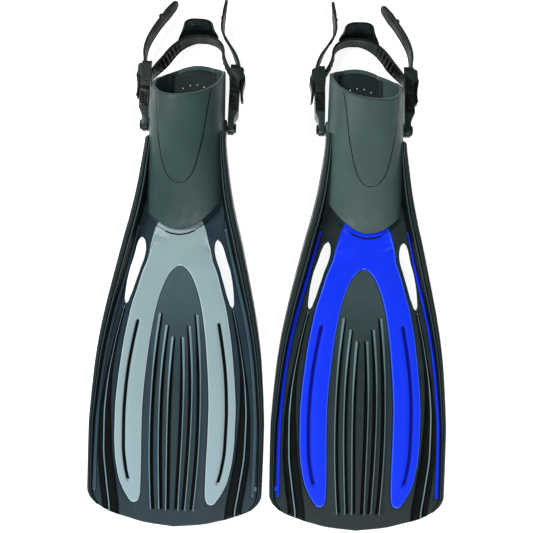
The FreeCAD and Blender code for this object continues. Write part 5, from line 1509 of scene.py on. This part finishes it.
def make_strap(fin):
    P0 = strap_line()
    t, P, L = resample(P0, 0.8)
    # directions across and through the strap from the line's tangent and its roll
    n = len(P)
    tan = np.gradient(P[:, :2], axis=0)
    tan /= np.maximum(np.linalg.norm(tan, axis=1), 1e-9)[:, None]
    nx, na = tan[:, 1], -tan[:, 0]
    roll = np.radians(P[:, 3])
    cr, sr = np.cos(roll), np.sin(roll)
    Wd = np.stack([nx * sr, na * sr, cr], 1)
    Td = np.stack([nx * cr, na * cr, -sr], 1)
    hw = P[:, 4].copy()
    # bar positions along the line
    bar_o = t[np.argmin(np.abs(P[:, 1] - (BAR_A - 4.5)) + (P[:, 0] > 0) * 1000)]
    bar_i = t[np.argmin(np.abs(P[:, 1] - (BAR_A - 4.5)) + (P[:, 0] < 0) * 1000)]
    # teeth lie on the face towards the foot, which is outside on the tails
    dist = np.minimum(np.abs(t - bar_o), np.abs(t - bar_i))
    zone = sstep(78, 70, dist) * sstep(5.0, 9.0, dist)
    tip = np.minimum(t, L - t)
    pitch = 6.4
    ph = (t / pitch) % 1.0
    tooth = np.where(ph < 0.30, ph / 0.30, np.where(ph < 0.5, 1.0, np.where(ph < 0.66, 1 - (ph - 0.5) / 0.16, 0)))
    on_loop = (t > bar_o + 6.0) & (t < bar_i - 6.0)
    tooth = tooth * zone * on_loop
    inside = np.minimum(np.abs(t - bar_o), np.abs(t - bar_i)) < 16
    tooth = np.where(inside, tooth * 0.25, tooth)
    h = STRAP_T / 2.0
    # the tip is rounded and thicker, with a hollow in it
    endr = np.sqrt(np.clip(1 - (1 - np.clip(tip / 7.0, 0, 1)) ** 2, 0.0004, 1))
    hw = hw * np.where(tip < 7, endr * 1.0, 1.0)
    thick = 1 + 0.35 * sstep(30, 20, tip)
    hh = h * thick
    endh = np.sqrt(np.clip(1 - (1 - np.clip(tip / 2.0, 0, 1)) ** 2, 0.0004, 1))
    hh = hh * endh
    hollow = sstep(26, 22, tip) * sstep(6, 9, tip) * 1.0
    hollow_b = sstep(48, 45, tip) * 0
    def col(w, tt):
        """width fraction and thickness offset"""
        return P[:, :3] + Wd * w[:, None] + Td * tt[:, None]
    one = np.ones(n)
    cols = []
    # back face (away from the foot on the loop): smooth with a faint raised border
    bw = lambda f: hw * f
    back = [(-0.995, 0.35), (-0.97, 0.75), (-0.91, 0.97), (-0.80, 1.0), (-0.74, 0.86), (-0.4, 0.84), (0.0, 0.84), (0.4, 0.84), (0.74, 0.86), (0.80, 1.0),
            (0.91, 0.97), (0.97, 0.75), (0.995, 0.35)]
    for f, k in back:
        mid = abs(f) < 0.76
        off = hh * k
        if mid:
            off = off - hollow * 0.9 * (abs(f) < 0.5)
        if abs(f) < 0.6:
            off = off + tooth * 1.5
        cols.append(col(bw(f), off))
    front = [(0.995, -0.35), (0.97, -0.75), (0.91, -0.97), (0.80, -1.0), (0.68, -0.72), (0.60, -0.72), (0.55, -0.72), (0.0, -0.72), (-0.55, -0.72),
             (-0.60, -0.72), (-0.68, -0.72), (-0.80, -1.0), (-0.91, -0.97), (-0.97, -0.75), (-0.995, -0.35)]
    for f, k in front:
        off = hh * k
        if abs(f) <= 0.56:
            off = off - (1 - zone) * hh * 0.2
        cols.append(col(bw(f), off))
    C = np.stack(cols, 1)
    nc = C.shape[1]
    V = strap_to_fin(C).reshape(-1, 3)
    f = grid_faces(n, nc, closed_c=True, flip=True)
    f.append(tuple(range(nc)))
    f.append(tuple(reversed(range((n - 1) * nc, n * nc))))
    idx = []
    nb = len(back)
    zone_row = (zone > 0.5) & on_loop
    for r in range(n - 1):
        for c in range(nc):
            idx.append(1 if (zone_row[r] and 4 <= c <= 7 and dist[r] < 62 and t[r] < (bar_o + bar_i) / 2) else 0)
    idx += [0, 0]
    # nub on the outer edge of each tail
    n0 = len(V)
    parts = [V]
    for near_start in (True, False):
        k = int(np.argmin(np.abs((t if near_start else L - t) - 33.0)))
        p, w, tdir = P[k, :3], Wd[k], Td[k]
        tg = np.array([tan[k, 0], tan[k, 1], 0.0])
        prof = [(10.2, 3.0), (12.0, 2.8), (12.4, 2.3), (12.8, 2.9), (13.6, 3.1), (14.4, 2.6), (14.7, 1.4), (14.8, 0.05)]
        N = 20
        ring = []
        for d, rr in prof:
            for q in range(N):
                a = 2 * math.pi * q / N
                ring.append(p + w * d + tg * rr * math.cos(a) + tdir * rr * 0.62 * math.sin(a))
        parts.append(strap_to_fin(np.array(ring)))
        g = grid_faces(len(prof), N, closed_c=True, flip=False)
        f += [tuple(i + n0 for i in q) for q in g]
        idx += [0] * len(g)
        n0 += len(ring)
    return add_piece(fin, "heel_strap", np.concatenate(parts, 0), f, fin.side + "_strap_assembly",
                     [fin.pre + "heel_strap"], [M_STRAP, M_TEETH], idx, sharp=40)


def make_pad(fin):
    """Heel pad: a shell on the back of the strap that flares into a finger tab
    with three concentric ridges."""
    a0 = 122.6 + STRAP_T / 2.0
    xc = 5.5
    # path up the pad: (a, b) of the face that looks at the foot, then back over the tab
    path = curve([(0, -9.4), (6, -4.2), (14, 3.4), (21, 9.6), (24, 12.6), (30, 17.4), (38, 21.8), (46, 24.0), (50, 24.7)])
    path_a = curve([(0, a0), (6, a0), (14, a0), (21, a0 + 0.2), (24, a0 + 1.2), (30, a0 + 3.8), (38, a0 + 8.4), (46, a0 + 12.8), (50, a0 + 15.0)])
    width = curve([(0, 17.0), (10, 18.5), (17, 21.5), (20.5, 25.6), (22, 26.2), (24, 24.8), (27, 22.2), (32, 20.0), (38, 19.0), (43, 17.2), (47, 13.5), (49.2, 8.0), (50, 1.0)])
    S = np.concatenate([np.arange(0, 44, 0.55), np.arange(44, 50.01, 0.25)])
    NU = 81
    s = np.linspace(-1, 1, NU)
    s = np.sign(s) * (1 - (1 - np.abs(s)) ** 1.2)
    a, b, w = path_a(S), path(S), width(S)
    ta, tb = np.gradient(a, S), np.gradient(b, S)
    L = np.sqrt(ta**2 + tb**2)
    ta, tb = ta / L, tb / L
    na, nb = -tb, ta          # towards the foot and upwards
    X = xc + w[:, None] * s[None, :]
    A = np.tile(a[:, None], (1, NU))
    # the lower part hugs the curved strap
    drop = curve([(-21, -12.0), (-12, -5.6), (-2.5, -1.6), (4, 0), (16.5, 0), (23, -1.6), (31, -5.0)])(X)
    A = A + drop * (1 - sstep(19.0, 32.0, S))[:, None]
    Bq = np.tile(b[:, None], (1, NU))
    SS = np.tile(S[:, None], (1, NU))
    # distance to the tab's outline: sides and the rounded top
    d = (1 - np.abs(s))[None, :] * w[:, None]
    d_top = 50.0 - SS
    edge = np.minimum(d, d_top * 0.9)
    rim = curve([(0, -0.9), (0.25, 0.2), (0.8, 0.85), (1.8, 1.0), (2.9, 0.75), (3.6, 0.1), (4.4, -0.15), (60, -0.15)])(edge)
    on_tab = sstep(21, 25, SS)
    # three arches
    u = (X - xc) / 14.6
    v = (SS - 27.0) / 17.5
    r = np.sqrt((np.abs(u) ** 3 + np.abs(v) ** 3) ** (2 / 3.0))
    ridge = 0
    for rr in (0.60, 0.79, 0.97):
        ridge = ridge + np.exp(-((r - rr) / 0.045) ** 4)
    ridge = ridge * sstep(26.5, 28.5, SS)
    face = on_tab * (rim + 1.25 * ridge * sstep(3.2, 4.4, edge))
    top_n = face[..., None] * np.stack([0 * A, na[:, None] + 0 * A, nb[:, None] + 0 * A], -1)
    P = np.stack([X, A, Bq], -1) + top_n
    th = curve([(0, 3.2), (4, 4.2), (16, 4.4), (24, 3.6), (34, 3.0), (50, 2.4)])(S)
    edge_b = curve([(0, 0.25), (0.6, 0.75), (1.6, 1.0), (60, 1.0)])(np.minimum(d, np.minimum(d_top, SS + 0.3)))
    Q = np.stack([X, A, Bq], -1) - (th[:, None] * edge_b)[..., None] * np.stack([0 * A, na[:, None] + 0 * A, nb[:, None] + 0 * A], -1)
    f = grid_faces(len(S), NU)
    v_, allf, sd = close_sheet(strap_to_fin(P).reshape(-1, 3), f, strap_to_fin(Q).reshape(-1, 3))
    # ridge tops and the band along the tab's edge get a paler colour: a painted highlight
    pale = ((ridge > 0.5) & (edge > 3.6) | (edge > 0.5) & (edge < 2.6) & (SS > 26)) & (SS > 25)
    idx = [1 if (pale[i, j] and pale[i + 1, j + 1]) else 0 for i in range(len(S) - 1) for j in range(NU - 1)]
    idx += [0] * (len(allf) + len(sd) - len(idx))
    return add_piece(fin, "heel_pad", v_, allf + sd, fin.side + "_strap_assembly", [fin.pre + "heel_pad"],
                     [M_PAD, M_PAD_HIGHLIGHT], idx, sharp=50)


# ------------------------------------------------------------------------- build
for side in ("left", "right"):
    fin = Fin(side)
    fin.tone = "grey_fin" if side == "left" else "blue_fin"
    make_blade(fin)
    make_inlay(fin)
    make_strips(fin)
    make_channels(fin)
    make_rails(fin)
    pocket = make_pocket(fin)
    make_panel(fin)
    make_footbed(fin)
    make_caps(fin)
    make_strap(fin)
    make_pad(fin)
    for sgn, nm in ((-1, "outer"), (1, "inner")):
        make_buckle(fin, sgn, nm)
    for n, mat in (("buckle_posts", M_BUCKLE_DARK), ("strap_bars", M_STEEL), ("lever_pins", M_STEEL), ("lever_springs", M_STEEL)):
        o = frame["nodes"][fin.pre + n]
        o.data.materials.clear()
        o.data.materials.append(mat)

# ---------------------------------------------------------------- floor and light
floor_me = bpy.data.meshes.new("floor")
R = 10.0
floor_me.from_pydata([(-R, -R, 0), (R, -R, 0), (R, R, 0), (-R, R, 0)], [], [(0, 1, 2, 3)])
floor = bpy.data.objects.new("floor", floor_me)
bpy.context.scene.collection.objects.link(floor)
fm, fnt, fb = new_mat("floor_white", (0.93, 0.93, 0.93), 0.85, 0.2)
fb.inputs["Emission Color"].default_value = (1, 1, 1, 1)
fb.inputs["Emission Strength"].default_value = 0.85
ftc = node(fnt, "ShaderNodeTexCoord")
fn = node(fnt, "ShaderNodeTexNoise")
fn.inputs["Scale"].default_value = 3.0
fnt.links.new(ftc.outputs["Object"], fn.inputs["Vector"])
fr = node(fnt, "ShaderNodeValToRGB")
fr.color_ramp.elements[0].color = (0.91, 0.91, 0.91, 1)
fr.color_ramp.elements[1].color = (0.95, 0.95, 0.95, 1)
fnt.links.new(fn.outputs["Fac"], fr.inputs["Fac"])
fnt.links.new(fr.outputs["Color"], fb.inputs["Base Color"])
floor_me.materials.append(fm)

world = bpy.data.worlds.new("studio")
bpy.context.scene.world = world
world.use_nodes = True
world.node_tree.nodes["Background"].inputs["Color"].default_value = (1, 1, 1, 1)
world.node_tree.nodes["Background"].inputs["Strength"].default_value = 0.17


def area(name, loc, target, size, power, size_y=None):
    l = bpy.data.lights.new(name, "AREA")
    l.energy = power
    l.size = size
    if size_y:
        l.shape = "RECTANGLE"
        l.size_y = size_y
    o = bpy.data.objects.new(name, l)
    bpy.context.scene.collection.objects.link(o)
    o.location = loc
    o.rotation_euler = (Vector(target) - Vector(loc)).to_track_quat("-Z", "Y").to_euler()
    return o


area("soft_key", (-1.25, 1.15, 2.0), (0, 0.05, 0), 1.0, 50, 0.8)
area("soft_front", (0.0, -2.7, 1.85), (0, 0.0, 0), 1.3, 56, 0.7)
area("soft_left", (-1.9, 0.1, 1.3), (0, 0, 0), 0.5, 5, 1.5)

cam = bpy.data.cameras.new("camera")
cam_ob = bpy.data.objects.new("camera", cam)
bpy.context.scene.collection.objects.link(cam_ob)
cam.sensor_width = 36.0
cam.lens = 59.7
cam_ob.location = (0.001143, -0.000492, 1.17)
cam_ob.rotation_euler = (0, 0, 0)
bpy.context.scene.camera = cam_ob
bpy.context.scene.view_settings.view_transform = "Standard"
